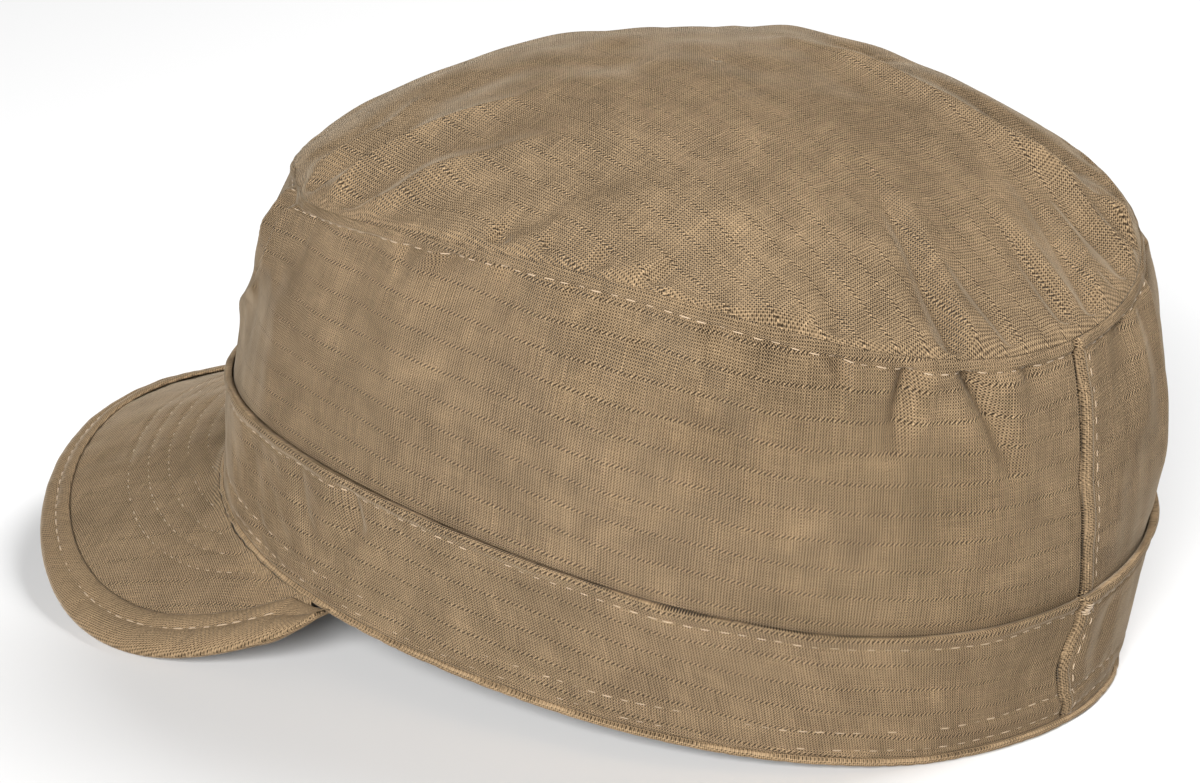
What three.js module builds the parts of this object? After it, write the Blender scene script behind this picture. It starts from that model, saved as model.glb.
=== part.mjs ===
// A soft patrol cap: a puffed oval top on a tall wall, an outer band whose folded
// upper edge stands free, a narrow binding round the foot and a short arched peak.
// Millimetres and degrees. +Z is up, the peak points to -Y, +X is the wearer's left.
// The cap lies as it would by itself, on the rear of its foot and the sides of its peak.
import * as THREE from 'three';

// Cloth layers and the play between them
const TOP_CLOTH = 1.6;
const WALL_CLOTH = 1.5;
const BAND_CLOTH = 1.4;
const HEM_CLOTH = 1;
const PEAK_BOARD = 2;
const LAYER_GAP = 0.3;

// The foot, where the head goes in
const FOOT_HALF_LENGTH = 105;
const FOOT_HALF_WIDTH = 74.3;
const FRONT_RISE = 15.9;
const RISE_ENDS_AT = 115;
const RISE_POWER = 3.9;
const SIDE_RISE = 0.8;
const REAR_DROP = 1.5;

// The outer band, up to its free edge
const BAND_HALF_LENGTH = 108.8;
const BAND_HALF_WIDTH = 83.3;
const BAND_SHIFT = -2;
const BAND_SIDE_HEIGHT = 38.2;
const BAND_FRONT_HEIGHT = 32.2;
const BAND_REAR_HEIGHT = 28.6;
const BAND_FOLD_HEIGHT = 2.4;
const BAND_FOLD_SWELL = 0.5;

// The seam between the wall and the top
const SEAM_HALF_LENGTH = 93.2;
const SEAM_HALF_WIDTH = 75.7;
const SEAM_SHIFT = 4.5;
const SEAM_SIDE_HEIGHT = 96.2;
const SEAM_FRONT_HEIGHT = 85;
const SEAM_REAR_HEIGHT = 82.5;
const SEAM_WAVE = 2.2;
const SEAM_RIDGE_HEIGHT = 2.4;
const SEAM_RIDGE_SWELL = 0.5;
const SEAM_ALLOWANCE = 5;

// How far wall and top swell out between their seams
const WALL_SWELL = 2.9;
const WALL_REAR_SWELL = 1.8;
const DOME_RISE = 28;
const DOME_POWER = 2.25;
const DOME_LEAN = 4;
const TOP_EDGE = 1;

// Peak
const PEAK_HALF_ANGLE = 71.5;
const PEAK_REACH = 53.9;
const PEAK_FLARE = 46;
const PEAK_SIDE_PULL = 73;
const PEAK_TIP_PULL = 56.3;
const PEAK_SLOPE = 0.27;
const PEAK_DROOP = 5.3;
const PEAK_SEAT = 1.2;
const HEM_WIDTH = 9;

// Binding round the foot, under wall and band
const BINDING_HEIGHT = 1.6;
const BINDING_OVERHANG = 0.6;
const BINDING_ROUND = 0.5;
const LANDING_LENGTH = 11;

// Rear seam
const WELT_WIDTH = 2.4;
const WELT_RAISE = 1.2;
const WELT_CLEAR = 1.5;

// Folds: the largest depth and the width that the tables below give shares of
const FOLD_DEPTH = 3;
const FOLD_WIDTH = 7;

// Finish
const CLOTH_COLOUR = 0xa58b6d;
const SHADE_COLOUR = 0x8e775b;
const CLOTH_ROUGHNESS = 0.9;

// Fineness of the facets
const COLUMNS = 72;
const END_CROWDING = 0.2;
const PEAK_STATIONS = 32;

// Folds of the wall. The angle runs from the front over the wearer's left, in degrees;
// up is a share of the wall's height above the band; width and depth are shares of
// FOLD_WIDTH and FOLD_DEPTH, and a depth below zero is a valley.
const WALL_FOLDS = [
  { angle: 141, up: 0.97, toAngle: 143, toUp: 0.86, width: 0.7, depth: -0.5 },
  { angle: 146, up: 0.96, toAngle: 145, toUp: 0.76, width: 0.8, depth: 0.5 },
  { angle: 151.5, up: 0.97, toAngle: 149, toUp: 0.68, width: 0.9, depth: -0.9 },
  { angle: 156, up: 0.96, toAngle: 154.5, toUp: 0.72, width: 0.9, depth: 0.6 },
  { angle: 160, up: 0.97, toAngle: 164, toUp: 0.66, width: 1, depth: -0.8 },
  { angle: 50, up: 0.97, toAngle: 24, toUp: 0.25, width: 1.8, depth: 0.8 },
  { angle: 40, up: 0.93, toAngle: 31, toUp: 0.66, width: 1, depth: -0.4 },
  { angle: 71, up: 0.9, toAngle: 80, toUp: 0.1, width: 2.6, depth: -0.45 },
  { angle: 202, up: 0.9, toAngle: 199, toUp: 0.45, width: 1.3, depth: 0.6 },
  { angle: 209, up: 0.96, toAngle: 206, toUp: 0.6, width: 1.2, depth: -0.5 },
  { angle: 310, up: 0.97, toAngle: 336, toUp: 0.25, width: 1.8, depth: 0.7 },
  { angle: 285, up: 0.9, toAngle: 278, toUp: 0.1, width: 2.6, depth: -0.4 },
];

// Creases of the band, with up as a share of the band's height
const BAND_FOLDS = [
  { angle: 79, up: 0.9, toAngle: 71.5, toUp: 0.35, width: 0.8, depth: -0.25 },
  { angle: 96, up: 0.75, toAngle: 90, toUp: 0.3, width: 1.4, depth: 0.15 },
  { angle: 282, up: 0.9, toAngle: 288, toUp: 0.35, width: 1, depth: -0.2 },
];

// Folds of the top, in plan: side is a share of the seam's half width, towards the
// wearer's left, and back a share of its half length, towards the rear.
const TOP_FOLDS = [
  { side: 0.87, back: -0.57, toSide: 0.55, toBack: -0.32, width: 0.9, depth: 0.6 },
  { side: 0.59, back: -0.8, toSide: 0.55, toBack: -0.5, width: 0.9, depth: 0.45 },
  { side: 0.72, back: -0.66, toSide: 0.6, toBack: -0.42, width: 0.9, depth: -0.4 },
  { side: 0.92, back: -0.36, toSide: 0.67, toBack: -0.08, width: 1.1, depth: -0.35 },
  { side: 0.26, back: 0.66, toSide: 0.42, toBack: 0.91, width: 1.1, depth: -0.9 },
  { side: 0.21, back: 0.8, toSide: 0.22, toBack: 0.92, width: 0.8, depth: -0.5 },
  { side: -0.08, back: 0.76, toSide: -0.03, toBack: 0.93, width: 0.9, depth: -0.5 },
  { side: -0.22, back: 0.77, toSide: -0.1, toBack: 0.94, width: 0.9, depth: -0.5 },
  { side: -0.49, back: 0.3, toSide: -0.7, toBack: 0.68, width: 1, depth: 0.8 },
  { side: -0.4, back: 0.6, toSide: -0.5, toBack: 0.84, width: 1, depth: 0.8 },
  { side: -0.64, back: 0.65, toSide: -0.56, toBack: 0.78, width: 0.8, depth: 0.4 },
  { side: -0.57, back: -0.1, toSide: -0.72, toBack: 0.45, width: 3, depth: 0.6 },
  { side: -0.35, back: -0.8, toSide: 0.25, toBack: -0.92, width: 2, depth: -0.7 },
  { side: -0.8, back: 0.5, toSide: -0.35, toBack: 0.9, width: 2, depth: -0.5 },
];

// Plan shapes of the three rings. full swells the four corners, taper narrows the
// front against the rear, and corner shifts the width towards the temples.
const FOOT_RING = {
  halfLength: FOOT_HALF_LENGTH,
  halfWidth: FOOT_HALF_WIDTH,
  shift: 0,
  full: 0.106,
  taper: -0.1,
  corner: 0.032,
  height: footHeight,
};
const BAND_RING = {
  halfLength: BAND_HALF_LENGTH,
  halfWidth: BAND_HALF_WIDTH,
  shift: BAND_SHIFT,
  full: 0.054,
  taper: 0.126,
  corner: -0.01,
  height: (angle) => saddle(angle, BAND_SIDE_HEIGHT, BAND_FRONT_HEIGHT, BAND_REAR_HEIGHT, 0),
};
const SEAM_RING = {
  halfLength: SEAM_HALF_LENGTH,
  halfWidth: SEAM_HALF_WIDTH,
  shift: SEAM_SHIFT,
  full: 0.104,
  taper: 0.014,
  corner: -0.014,
  height: (angle) => saddle(angle, SEAM_SIDE_HEIGHT, SEAM_FRONT_HEIGHT, SEAM_REAR_HEIGHT, SEAM_WAVE),
};

const radians = THREE.MathUtils.degToRad;
const mix = THREE.MathUtils.lerp;

function footHeight(angle) {
  const end = Math.cos(radians(RISE_ENDS_AT));
  const share = Math.max(0, (Math.cos(angle) - end) / (1 - end));
  const drop = REAR_DROP * Math.max(0, -Math.cos(angle)) ** 2;
  return FRONT_RISE * share ** RISE_POWER + SIDE_RISE * Math.sin(angle) ** 2 - drop;
}

// Height of a ring that is highest at the sides; wave shifts the crest fore and aft.
function saddle(angle, side, front, rear, wave) {
  const c = Math.cos(angle);
  const across = ((front + rear) / 2 - side) * c * c;
  return side + across + ((front - rear) / 2 - wave) * c + wave * (4 * c ** 3 - 3 * c);
}

function ringPlan(ring, angle) {
  const c = Math.cos(angle);
  const swell = 1 + 2 * ring.full * c * c - ring.taper * c + ring.corner * Math.cos(3 * angle);
  return new THREE.Vector3(ring.halfWidth * Math.sin(angle) * swell, ring.shift - ring.halfLength * c, 0);
}

function ringOutward(ring, angle) {
  const step = 1e-4;
  const along = ringPlan(ring, angle + step).sub(ringPlan(ring, angle - step));
  return new THREE.Vector3(along.y, -along.x, 0).normalize();
}

// A point on a ring, moved level by out and up by lift
function ringPoint(ring, angle, out, lift = 0) {
  const point = ringPlan(ring, angle).addScaledVector(ringOutward(ring, angle), out);
  point.z = ring.height(angle) + lift;
  return point;
}

// Relief of a table of folds at a place on a flat pattern, in millimetres
function relief(folds, place) {
  let sum = 0;
  for (const fold of folds) {
    const nearest = new THREE.Line3(fold.start, fold.end).closestPointToPoint(place, true, new THREE.Vector3());
    const share = nearest.distanceTo(place) / (fold.width * FOLD_WIDTH);
    sum += fold.depth * FOLD_DEPTH * Math.exp(-share * share);
  }
  return sum;
}

// The wall's folds on its unrolled pattern: millimetres round the cap, millimetres up
const ROUND = radians(1) * (SEAM_HALF_LENGTH + SEAM_HALF_WIDTH) / 2;
const WALL_RUN = SEAM_SIDE_HEIGHT - BAND_SIDE_HEIGHT;

function onPattern(folds, height) {
  return folds.map((fold) => ({
    start: new THREE.Vector3(fold.angle * ROUND, fold.up * height, 0),
    end: new THREE.Vector3(fold.toAngle * ROUND, fold.toUp * height, 0),
    width: fold.width,
    depth: fold.depth,
  }));
}

const wallPattern = onPattern(WALL_FOLDS, WALL_RUN);
const bandPattern = onPattern(BAND_FOLDS, BAND_SIDE_HEIGHT);
const topPattern = TOP_FOLDS.map((fold) => ({
  start: new THREE.Vector3(fold.side * SEAM_HALF_WIDTH, fold.back * SEAM_HALF_LENGTH + SEAM_SHIFT, 0),
  end: new THREE.Vector3(fold.toSide * SEAM_HALF_WIDTH, fold.toBack * SEAM_HALF_LENGTH + SEAM_SHIFT, 0),
  width: fold.width,
  depth: fold.depth,
}));

// Folds die out towards a seam within this share of the panel
const SEAM_FADE = 0.07;

function fade(share) {
  return THREE.MathUtils.smoothstep(Math.min(share, 1 - share), 0, SEAM_FADE);
}

// The wall inside the band starts this far inside the band's outer face
const WALL_INSET = BAND_CLOTH + LAYER_GAP;

// Outer face of the wall above the band, up from 0 at the band's edge to 1 at the seam
function wallFace(angle, up, inward) {
  const low = ringPoint(BAND_RING, angle, -WALL_INSET - inward);
  const high = ringPoint(SEAM_RING, angle, -inward);
  const swell = (WALL_SWELL - WALL_REAR_SWELL * Math.cos(angle)) * Math.sin(Math.PI * up);
  const turn = THREE.MathUtils.euclideanModulo(THREE.MathUtils.radToDeg(angle), 360);
  const folds = relief(wallPattern, new THREE.Vector3(turn * ROUND, up * WALL_RUN, 0)) * fade(up);
  return low.lerp(high, up).addScaledVector(ringOutward(BAND_RING, angle), swell + folds);
}

// Wall and band start this far above the foot, on the binding
const FOOT_LIFT = BINDING_HEIGHT + LAYER_GAP;

// The layers between the binding and the band's edge, up from 0 to 1
function footFace(angle, up, inward) {
  const low = ringPoint(FOOT_RING, angle, -inward, FOOT_LIFT);
  low.z += landing(angle, low.y);
  const high = ringPoint(BAND_RING, angle, -inward);
  const turn = THREE.MathUtils.euclideanModulo(THREE.MathUtils.radToDeg(angle), 360);
  const folds = relief(bandPattern, new THREE.Vector3(turn * ROUND, up * BAND_SIDE_HEIGHT, 0)) * fade(up);
  return low.lerp(high, up).addScaledVector(ringOutward(BAND_RING, angle), folds);
}

// Outer face of the top, out from 0 at its middle to 1 at its seam
function topFace(angle, out) {
  const edge = ringPoint(SEAM_RING, angle, 0);
  const middle = (SEAM_SIDE_HEIGHT + (SEAM_FRONT_HEIGHT + SEAM_REAR_HEIGHT) / 2) / 2;
  const point = new THREE.Vector3(0, SEAM_SHIFT, 0).lerp(edge, out);
  const base = mix(middle, edge.z, out * out) + LAYER_GAP + TOP_EDGE;
  const dome = DOME_RISE * (1 - out ** DOME_POWER);
  const lean = DOME_LEAN * (point.y / SEAM_HALF_LENGTH) * out * (1 - out * out);
  const place = new THREE.Vector3(point.x, point.y, 0);
  const folds = relief(topPattern, place) * THREE.MathUtils.smoothstep(1 - out, 0, SEAM_FADE);
  point.z = base + dome - lean + folds;
  return point;
}

// Peak: a cubic edge in plan from each temple to the tip, on an arched sheet
const PEAK_ANGLE = radians(PEAK_HALF_ANGLE);
const PEAK_OFFSET = BINDING_OVERHANG + LAYER_GAP;
const peakCorner = ringPoint(FOOT_RING, PEAK_ANGLE, PEAK_OFFSET);
const peakRoot = ringPoint(FOOT_RING, 0, PEAK_OFFSET);
const peakTip = new THREE.Vector3(0, peakRoot.y - PEAK_REACH, 0);
const sideAim = new THREE.Vector3(Math.cos(radians(PEAK_FLARE)), -Math.sin(radians(PEAK_FLARE)), 0);
const peakEdge = new THREE.CubicBezierCurve3(
  new THREE.Vector3(peakCorner.x, peakCorner.y, 0),
  new THREE.Vector3(peakCorner.x, peakCorner.y, 0).addScaledVector(sideAim, PEAK_SIDE_PULL),
  peakTip.clone().add(new THREE.Vector3(PEAK_TIP_PULL, 0, 0)),
  peakTip,
);
const cornerRun = peakRoot.y - peakCorner.y;
const peakArch = (peakProfile(cornerRun) - peakCorner.z) / peakCorner.x ** 2;

// Height along the peak's middle line, run ahead of the foot
function peakProfile(run) {
  return peakRoot.z - PEAK_SLOPE * run - PEAK_DROOP * (run / PEAK_REACH) ** 2;
}

function peakSheet(x, y) {
  return peakProfile(peakRoot.y - y) - x * x * peakArch;
}

// side runs from -1 at one temple to 1 at the other
function peakInner(side) {
  return ringPoint(FOOT_RING, side * PEAK_ANGLE, PEAK_OFFSET);
}

function peakOuter(side) {
  const point = peakEdge.getPoint(1 - Math.abs(side));
  point.x *= Math.sign(side);
  return point;
}

// A point on the peak's middle face, out from 0 at the foot to 1 at the edge
function peakFace(side, out) {
  const inner = peakInner(side);
  const outer = peakOuter(side);
  const point = new THREE.Vector3(mix(inner.x, outer.x, out), mix(inner.y, outer.y, out), 0);
  const seat = inner.z - peakSheet(inner.x, inner.y);
  point.z = peakSheet(point.x, point.y) + seat * (1 - out) ** 2 - PEAK_SEAT * (1 - out);
  return point;
}

// The way up from the peak's middle face: plumb at the foot, square to the sheet outside
function peakUp(side, out) {
  const step = 1e-3;
  const across = peakFace(side + step, out).sub(peakFace(side - step, out));
  const along = peakFace(side, out + step).sub(peakFace(side, out - step));
  const square = along.cross(across).normalize();
  square.multiplyScalar(Math.sign(square.z));
  return new THREE.Vector3(0, 0, 1).lerp(square, out).normalize();
}

// How far out the place lies that is a given distance in from the edge
function peakOut(side, distance) {
  const step = 1e-3;
  const along = peakOuter(side + step).sub(peakOuter(side - step)).normalize();
  const inner = peakInner(side).setZ(0);
  const ruling = peakOuter(side).sub(inner);
  const square = Math.abs(ruling.clone().cross(along).z);
  return 1 - distance / square;
}

function peakPoint(side, distance, lift) {
  const out = Math.max(peakOut(side, distance), HEM_END_OUT);
  return peakFace(side, out).addScaledVector(peakUp(side, out), lift);
}

// The hem's lips stop this share of the peak short of the foot
const HEM_END_OUT = 0.04;
const SLOT_HALF = PEAK_BOARD / 2 + LAYER_GAP;
const HEM_HALF = SLOT_HALF + HEM_CLOTH;

// Section of the hem: distance in from the edge, and height off the middle face
const HEM_SECTION = [
  { inward: HEM_WIDTH, lift: SLOT_HALF },
  { inward: HEM_WIDTH, lift: HEM_HALF * 0.85 },
  { inward: HEM_WIDTH * 0.85, lift: HEM_HALF },
  { inward: HEM_HALF * 0.8, lift: HEM_HALF },
  { inward: HEM_HALF * 0.2, lift: HEM_HALF * 0.6 },
  { inward: 0, lift: 0 },
  { inward: HEM_HALF * 0.2, lift: -HEM_HALF * 0.6 },
  { inward: HEM_HALF * 0.8, lift: -HEM_HALF },
  { inward: HEM_WIDTH, lift: -HEM_HALF },
  { inward: HEM_WIDTH, lift: -SLOT_HALF },
  { inward: HEM_WIDTH / 2, lift: -SLOT_HALF },
  { inward: HEM_CLOTH, lift: -SLOT_HALF },
  { inward: HEM_CLOTH, lift: SLOT_HALF },
  { inward: HEM_WIDTH / 2, lift: SLOT_HALF },
];

// Where the sections of board and hem lie, closer together towards the temples
const HEM_END_SIDE = 0.965;
const peakSides = Array.from({ length: PEAK_STATIONS + 1 }, (_, i) => {
  const share = mix(-1, 1, i / PEAK_STATIONS);
  return (HEM_END_SIDE * (share + Math.sin((share * Math.PI) / 2))) / 2;
});

function hemSection(side) {
  return HEM_SECTION.map((row) => peakPoint(side, row.inward, row.lift));
}

// The cap lies on its rear foot and on the lowest places of the hem, so it is pitched
// nose up, and the last stretch of the foot is pressed level.
const LANDING_START = FOOT_HALF_LENGTH - LANDING_LENGTH;
const landingStart = ringPoint(FOOT_RING, Math.acos(-LANDING_START / FOOT_HALF_LENGTH), 0);

function restPitch() {
  let slope = 0;
  for (const point of peakSides.flatMap(hemSection)) {
    slope = Math.max(slope, (landingStart.z - point.z) / (landingStart.y - point.y));
  }
  return Math.atan(slope);
}

const REST_PITCH = restPitch();

// How far a place on the last stretch of the foot is lifted to lie level
function landing(angle, y) {
  const level = landingStart.z + Math.tan(REST_PITCH) * (y - landingStart.y);
  return y < landingStart.y ? 0 : level - footHeight(angle);
}

// Solids from rows of sections

// Joins sections of equally many points into one closed solid. around closes the row
// on itself; poles says that first and last point of every section are the same place.
function loft(sections, { around = false, poles = false } = {}) {
  const ring = sections[0].length;
  const points = sections.flat();
  const faces = [];
  const last = around ? sections.length : sections.length - 1;
  const place = (section, k) => {
    if (poles && (k === 0 || k === ring - 1)) {
      return k;
    }
    return (section % sections.length) * ring + (k % ring);
  };
  const joined = poles ? ring - 1 : ring;
  for (let i = 0; i < last; i += 1) {
    for (let k = 0; k < joined; k += 1) {
      const corners = [place(i, k), place(i + 1, k), place(i + 1, k + 1), place(i, k + 1)];
      // Facets of facing layers are split the same way, up towards the next section
      const turn = points[corners[0]].z > points[corners[3]].z ? 1 : 0;
      const [a, b, c, d] = [0, 1, 2, 3].map((n) => corners[(n + turn) % 4]);
      addFace(faces, a, b, c);
      addFace(faces, a, c, d);
    }
  }
  if (!around) {
    for (const [a, b, c] of capFaces(sections[0])) {
      addFace(faces, a, b, c);
    }
    const base = (sections.length - 1) * ring;
    for (const [a, b, c] of capFaces(sections[sections.length - 1])) {
      addFace(faces, base + a, base + c, base + b);
    }
  }
  return solid(points, faces);
}

function addFace(faces, a, b, c) {
  if (a !== b && b !== c && c !== a) {
    faces.push(a, b, c);
  }
}

// Triangles over one end section, in the order of its points
function capFaces(section) {
  const middle = section.reduce((sum, p) => sum.add(p), new THREE.Vector3()).divideScalar(section.length);
  const normal = new THREE.Vector3();
  section.forEach((p, k) => {
    const next = section[(k + 1) % section.length];
    normal.add(p.clone().sub(middle).cross(next.clone().sub(middle)));
  });
  const turn = new THREE.Quaternion().setFromUnitVectors(normal.normalize(), new THREE.Vector3(0, 0, 1));
  const flat = section.map((p) => p.clone().sub(middle).applyQuaternion(turn));
  return THREE.ShapeUtils.triangulateShape(flat.map((p) => new THREE.Vector2(p.x, p.y)), []);
}

// A closed solid with its faces outwards and no unused point
function solid(points, faces) {
  const used = new Map();
  const positions = [];
  const index = faces.map((k) => {
    if (!used.has(k)) {
      used.set(k, used.size);
      positions.push(...points[k].toArray());
    }
    return used.get(k);
  });
  let volume = 0;
  for (let i = 0; i < faces.length; i += 3) {
    volume += points[faces[i]].dot(points[faces[i + 1]].clone().cross(points[faces[i + 2]]));
  }
  if (volume < 0) {
    index.reverse();
  }
  const geometry = new THREE.BufferGeometry();
  geometry.setAttribute('position', new THREE.Float32BufferAttribute(positions, 3));
  geometry.setIndex(index);
  geometry.computeVertexNormals();
  return geometry;
}

// Angles of the columns, closer together at the front and the rear
function columnAngles() {
  return Array.from({ length: COLUMNS }, (_, i) => {
    const angle = (2 * Math.PI * i) / COLUMNS;
    return angle - (END_CROWDING * Math.sin(2 * angle)) / 2;
  });
}

function ringSolid(sectionAt, poles = false) {
  return loft(columnAngles().map(sectionAt), { around: true, poles });
}

// The pieces

// Where the band's folded edge starts, as a share of the band's height
function bandFoldStart(angle) {
  return 1 - BAND_FOLD_HEIGHT / (BAND_RING.height(angle) - FOOT_RING.height(angle) - FOOT_LIFT);
}

const FOOT_ROWS = [0, 0.35, 0.7];
const WALL_ROWS = [0, 0.07, 0.22, 0.38, 0.54, 0.68, 0.79, 0.88, 0.94];

// One strip from the foot, inside the band, up to the top seam, with the ridge that the
// turned-down seam allowance raises along its upper edge
function crownSide() {
  return ringSolid((angle) => {
    const high = 1 - SEAM_RIDGE_HEIGHT / WALL_RUN;
    const fold = bandFoldStart(angle);
    const outer = FOOT_ROWS.map((up) => footFace(angle, up * fold, WALL_INSET));
    const inner = FOOT_ROWS.map((up) => footFace(angle, up * fold, WALL_INSET + WALL_CLOTH));
    for (const up of WALL_ROWS) {
      outer.push(wallFace(angle, up * high, 0));
      inner.push(wallFace(angle, up * high, WALL_CLOTH));
    }
    outer.push(wallFace(angle, high, -SEAM_RIDGE_SWELL / 4), wallFace(angle, (1 + high) / 2, -SEAM_RIDGE_SWELL));
    outer.push(wallFace(angle, 1, 0));
    inner.push(wallFace(angle, 1, WALL_CLOTH));
    return [...outer, ...inner.reverse()];
  });
}

const TOP_ROWS = [0, 0.22, 0.42, 0.58, 0.72, 0.83, 0.92, 1];
const TOP_INNER_ROWS = [0, 0.22, 0.42, 0.58, 0.72, 0.83];

// The cloth is measured plumb, so it is this much deeper where the dome is steepest
const STEEP_DEPTH = 1.25;

// The domed panel, with its seam allowance turned down inside the wall
function crownTop() {
  const allowance = WALL_CLOTH + LAYER_GAP;
  return ringSolid((angle) => {
    const section = TOP_ROWS.map((out) => topFace(angle, out));
    section.push(ringPoint(SEAM_RING, angle, 0, LAYER_GAP));
    section.push(ringPoint(SEAM_RING, angle, -allowance, LAYER_GAP));
    section.push(ringPoint(SEAM_RING, angle, -allowance, -SEAM_ALLOWANCE));
    section.push(ringPoint(SEAM_RING, angle, -allowance - TOP_CLOTH, -SEAM_ALLOWANCE));
    section.push(ringPoint(SEAM_RING, angle, -allowance - TOP_CLOTH, TOP_EDGE / 2));
    for (const out of [...TOP_INNER_ROWS].reverse()) {
      const point = topFace(angle, out);
      point.z -= TOP_CLOTH * mix(1, STEEP_DEPTH, out);
      section.push(point);
    }
    return section;
  }, true);
}

// Strip round the foot of the wall; its upper edge is folded and stands free
function outerBand() {
  return ringSolid((angle) => {
    const fold = bandFoldStart(angle);
    const outer = FOOT_ROWS.map((up) => footFace(angle, up * fold, 0));
    const inner = FOOT_ROWS.map((up) => footFace(angle, up * fold, BAND_CLOTH));
    outer.push(footFace(angle, fold, 0));
    outer.push(footFace(angle, (1 + fold) / 2, -BAND_FOLD_SWELL));
    outer.push(footFace(angle, 1, -BAND_FOLD_SWELL / 2));
    inner.push(footFace(angle, 1, BAND_CLOTH));
    return [...outer, ...inner.reverse()];
  });
}

// Rolled edge under wall and band, level where it lies on the floor
function rimBinding() {
  const inside = WALL_INSET + WALL_CLOTH + BINDING_OVERHANG;
  const section = [
    { out: BINDING_OVERHANG - BINDING_ROUND, lift: BINDING_HEIGHT },
    { out: BINDING_OVERHANG, lift: BINDING_HEIGHT - BINDING_ROUND },
    { out: BINDING_OVERHANG, lift: BINDING_ROUND },
    { out: BINDING_OVERHANG - BINDING_ROUND, lift: 0 },
    { out: BINDING_ROUND - inside, lift: 0 },
    { out: -inside, lift: BINDING_ROUND },
    { out: -inside, lift: BINDING_HEIGHT - BINDING_ROUND },
    { out: BINDING_ROUND - inside, lift: BINDING_HEIGHT },
  ];
  return ringSolid((angle) => section.map((row) => {
    const point = ringPoint(FOOT_RING, angle, row.out, row.lift);
    point.z += landing(angle, point.y);
    return point;
  }));
}

// Board between the foot and the hem; at the temples it ends inside the hem
function peakBoard() {
  const half = PEAK_BOARD / 2;
  return loft(peakSides.slice(1, -1).map((side) => {
    const lip = Math.max(peakOut(side, HEM_WIDTH), HEM_END_OUT);
    const rows = [0, lip / 2, lip, peakOut(side, HEM_WIDTH / 2), peakOut(side, HEM_CLOTH + LAYER_GAP)];
    const at = (out, lift) => peakFace(side, out).addScaledVector(peakUp(side, out), lift);
    return [...rows.map((out) => at(out, half)), ...rows.map((out) => at(out, -half)).reverse()];
  }));
}

// Binding folded round the peak's edge
function peakHem() {
  return loft(peakSides.map(hemSection));
}

// Lapped fold of the rear seam: a narrow rounded strip laid on a face at the rear
function rearWelt(faceAt, from, to, steps) {
  const half = WELT_WIDTH / 2;
  const section = [
    { across: -half, raise: LAYER_GAP },
    { across: -half, raise: LAYER_GAP + WELT_RAISE * 0.6 },
    { across: -half * 0.5, raise: LAYER_GAP + WELT_RAISE },
    { across: half * 0.5, raise: LAYER_GAP + WELT_RAISE },
    { across: half, raise: LAYER_GAP + WELT_RAISE * 0.4 },
    { across: half, raise: LAYER_GAP },
  ];
  return loft(Array.from({ length: steps + 1 }, (_, i) => {
    const foot = faceAt(mix(from, to, i / steps));
    return section.map((row) => foot.clone().add(new THREE.Vector3(row.across, row.raise, 0)));
  }));
}

const WELT_STEPS = 8;
const BAND_REAR_RUN = BAND_REAR_HEIGHT - footHeight(Math.PI) - FOOT_LIFT;
const WALL_REAR_RUN = SEAM_REAR_HEIGHT - BAND_REAR_HEIGHT;

function backSeamUpper() {
  const from = WELT_CLEAR / WALL_REAR_RUN;
  const to = 1 - SEAM_RIDGE_HEIGHT / WALL_REAR_RUN;
  return rearWelt((up) => wallFace(Math.PI, up, 0), from, to, WELT_STEPS);
}

function backSeamLower() {
  const from = WELT_CLEAR / BAND_REAR_RUN;
  const to = 1 - (BAND_FOLD_HEIGHT + LAYER_GAP) / BAND_REAR_RUN;
  return rearWelt((up) => footFace(Math.PI, up, 0), from, to, WELT_STEPS / 2);
}

function clothMaterial(colour) {
  return new THREE.MeshStandardMaterial({ color: colour, roughness: CLOTH_ROUGHNESS, metalness: 0 });
}

function piece(name, geometry, colour = CLOTH_COLOUR) {
  const mesh = new THREE.Mesh(geometry, clothMaterial(colour));
  mesh.name = name;
  return mesh;
}

const worn = new THREE.Group();
worn.add(
  piece('crown_top', crownTop()),
  piece('crown_side', crownSide()),
  piece('outer_band', outerBand()),
  piece('rim_binding', rimBinding(), SHADE_COLOUR),
  piece('peak', peakBoard()),
  piece('peak_hem', peakHem(), SHADE_COLOUR),
  piece('back_seam_upper', backSeamUpper(), SHADE_COLOUR),
  piece('back_seam_lower', backSeamLower(), SHADE_COLOUR),
);
worn.rotation.x = -REST_PITCH;

// The origin is the middle of the underside of the whole cap
const cap = new THREE.Group();
cap.add(worn);
cap.updateMatrixWorld(true);
const box = new THREE.Box3().setFromObject(cap, true);
worn.position.set(-(box.min.x + box.max.x) / 2, -(box.min.y + box.max.y) / 2, -box.min.z);
cap.updateMatrixWorld(true);

export default cap;
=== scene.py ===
import math
import bpy
import numpy as np
from mathutils import Matrix, Vector


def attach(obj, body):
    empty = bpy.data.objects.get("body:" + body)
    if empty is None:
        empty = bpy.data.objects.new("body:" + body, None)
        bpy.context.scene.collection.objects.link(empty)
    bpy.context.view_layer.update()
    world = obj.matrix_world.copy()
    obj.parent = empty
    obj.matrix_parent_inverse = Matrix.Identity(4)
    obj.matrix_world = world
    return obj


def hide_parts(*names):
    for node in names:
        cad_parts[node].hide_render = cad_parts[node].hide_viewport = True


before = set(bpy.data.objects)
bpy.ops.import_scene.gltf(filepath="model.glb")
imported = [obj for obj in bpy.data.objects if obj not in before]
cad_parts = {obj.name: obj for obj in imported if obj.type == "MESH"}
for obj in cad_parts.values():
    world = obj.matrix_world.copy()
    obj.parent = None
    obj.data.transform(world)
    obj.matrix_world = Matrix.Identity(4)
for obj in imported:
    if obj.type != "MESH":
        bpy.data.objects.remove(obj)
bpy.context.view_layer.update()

# Wall of the crown
# One strip of khaki ripstop cloth that stands up from the foot, inside the band, to the
# top seam. Its ends meet at the rear; along the top its seam allowance makes a ridge.

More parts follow.
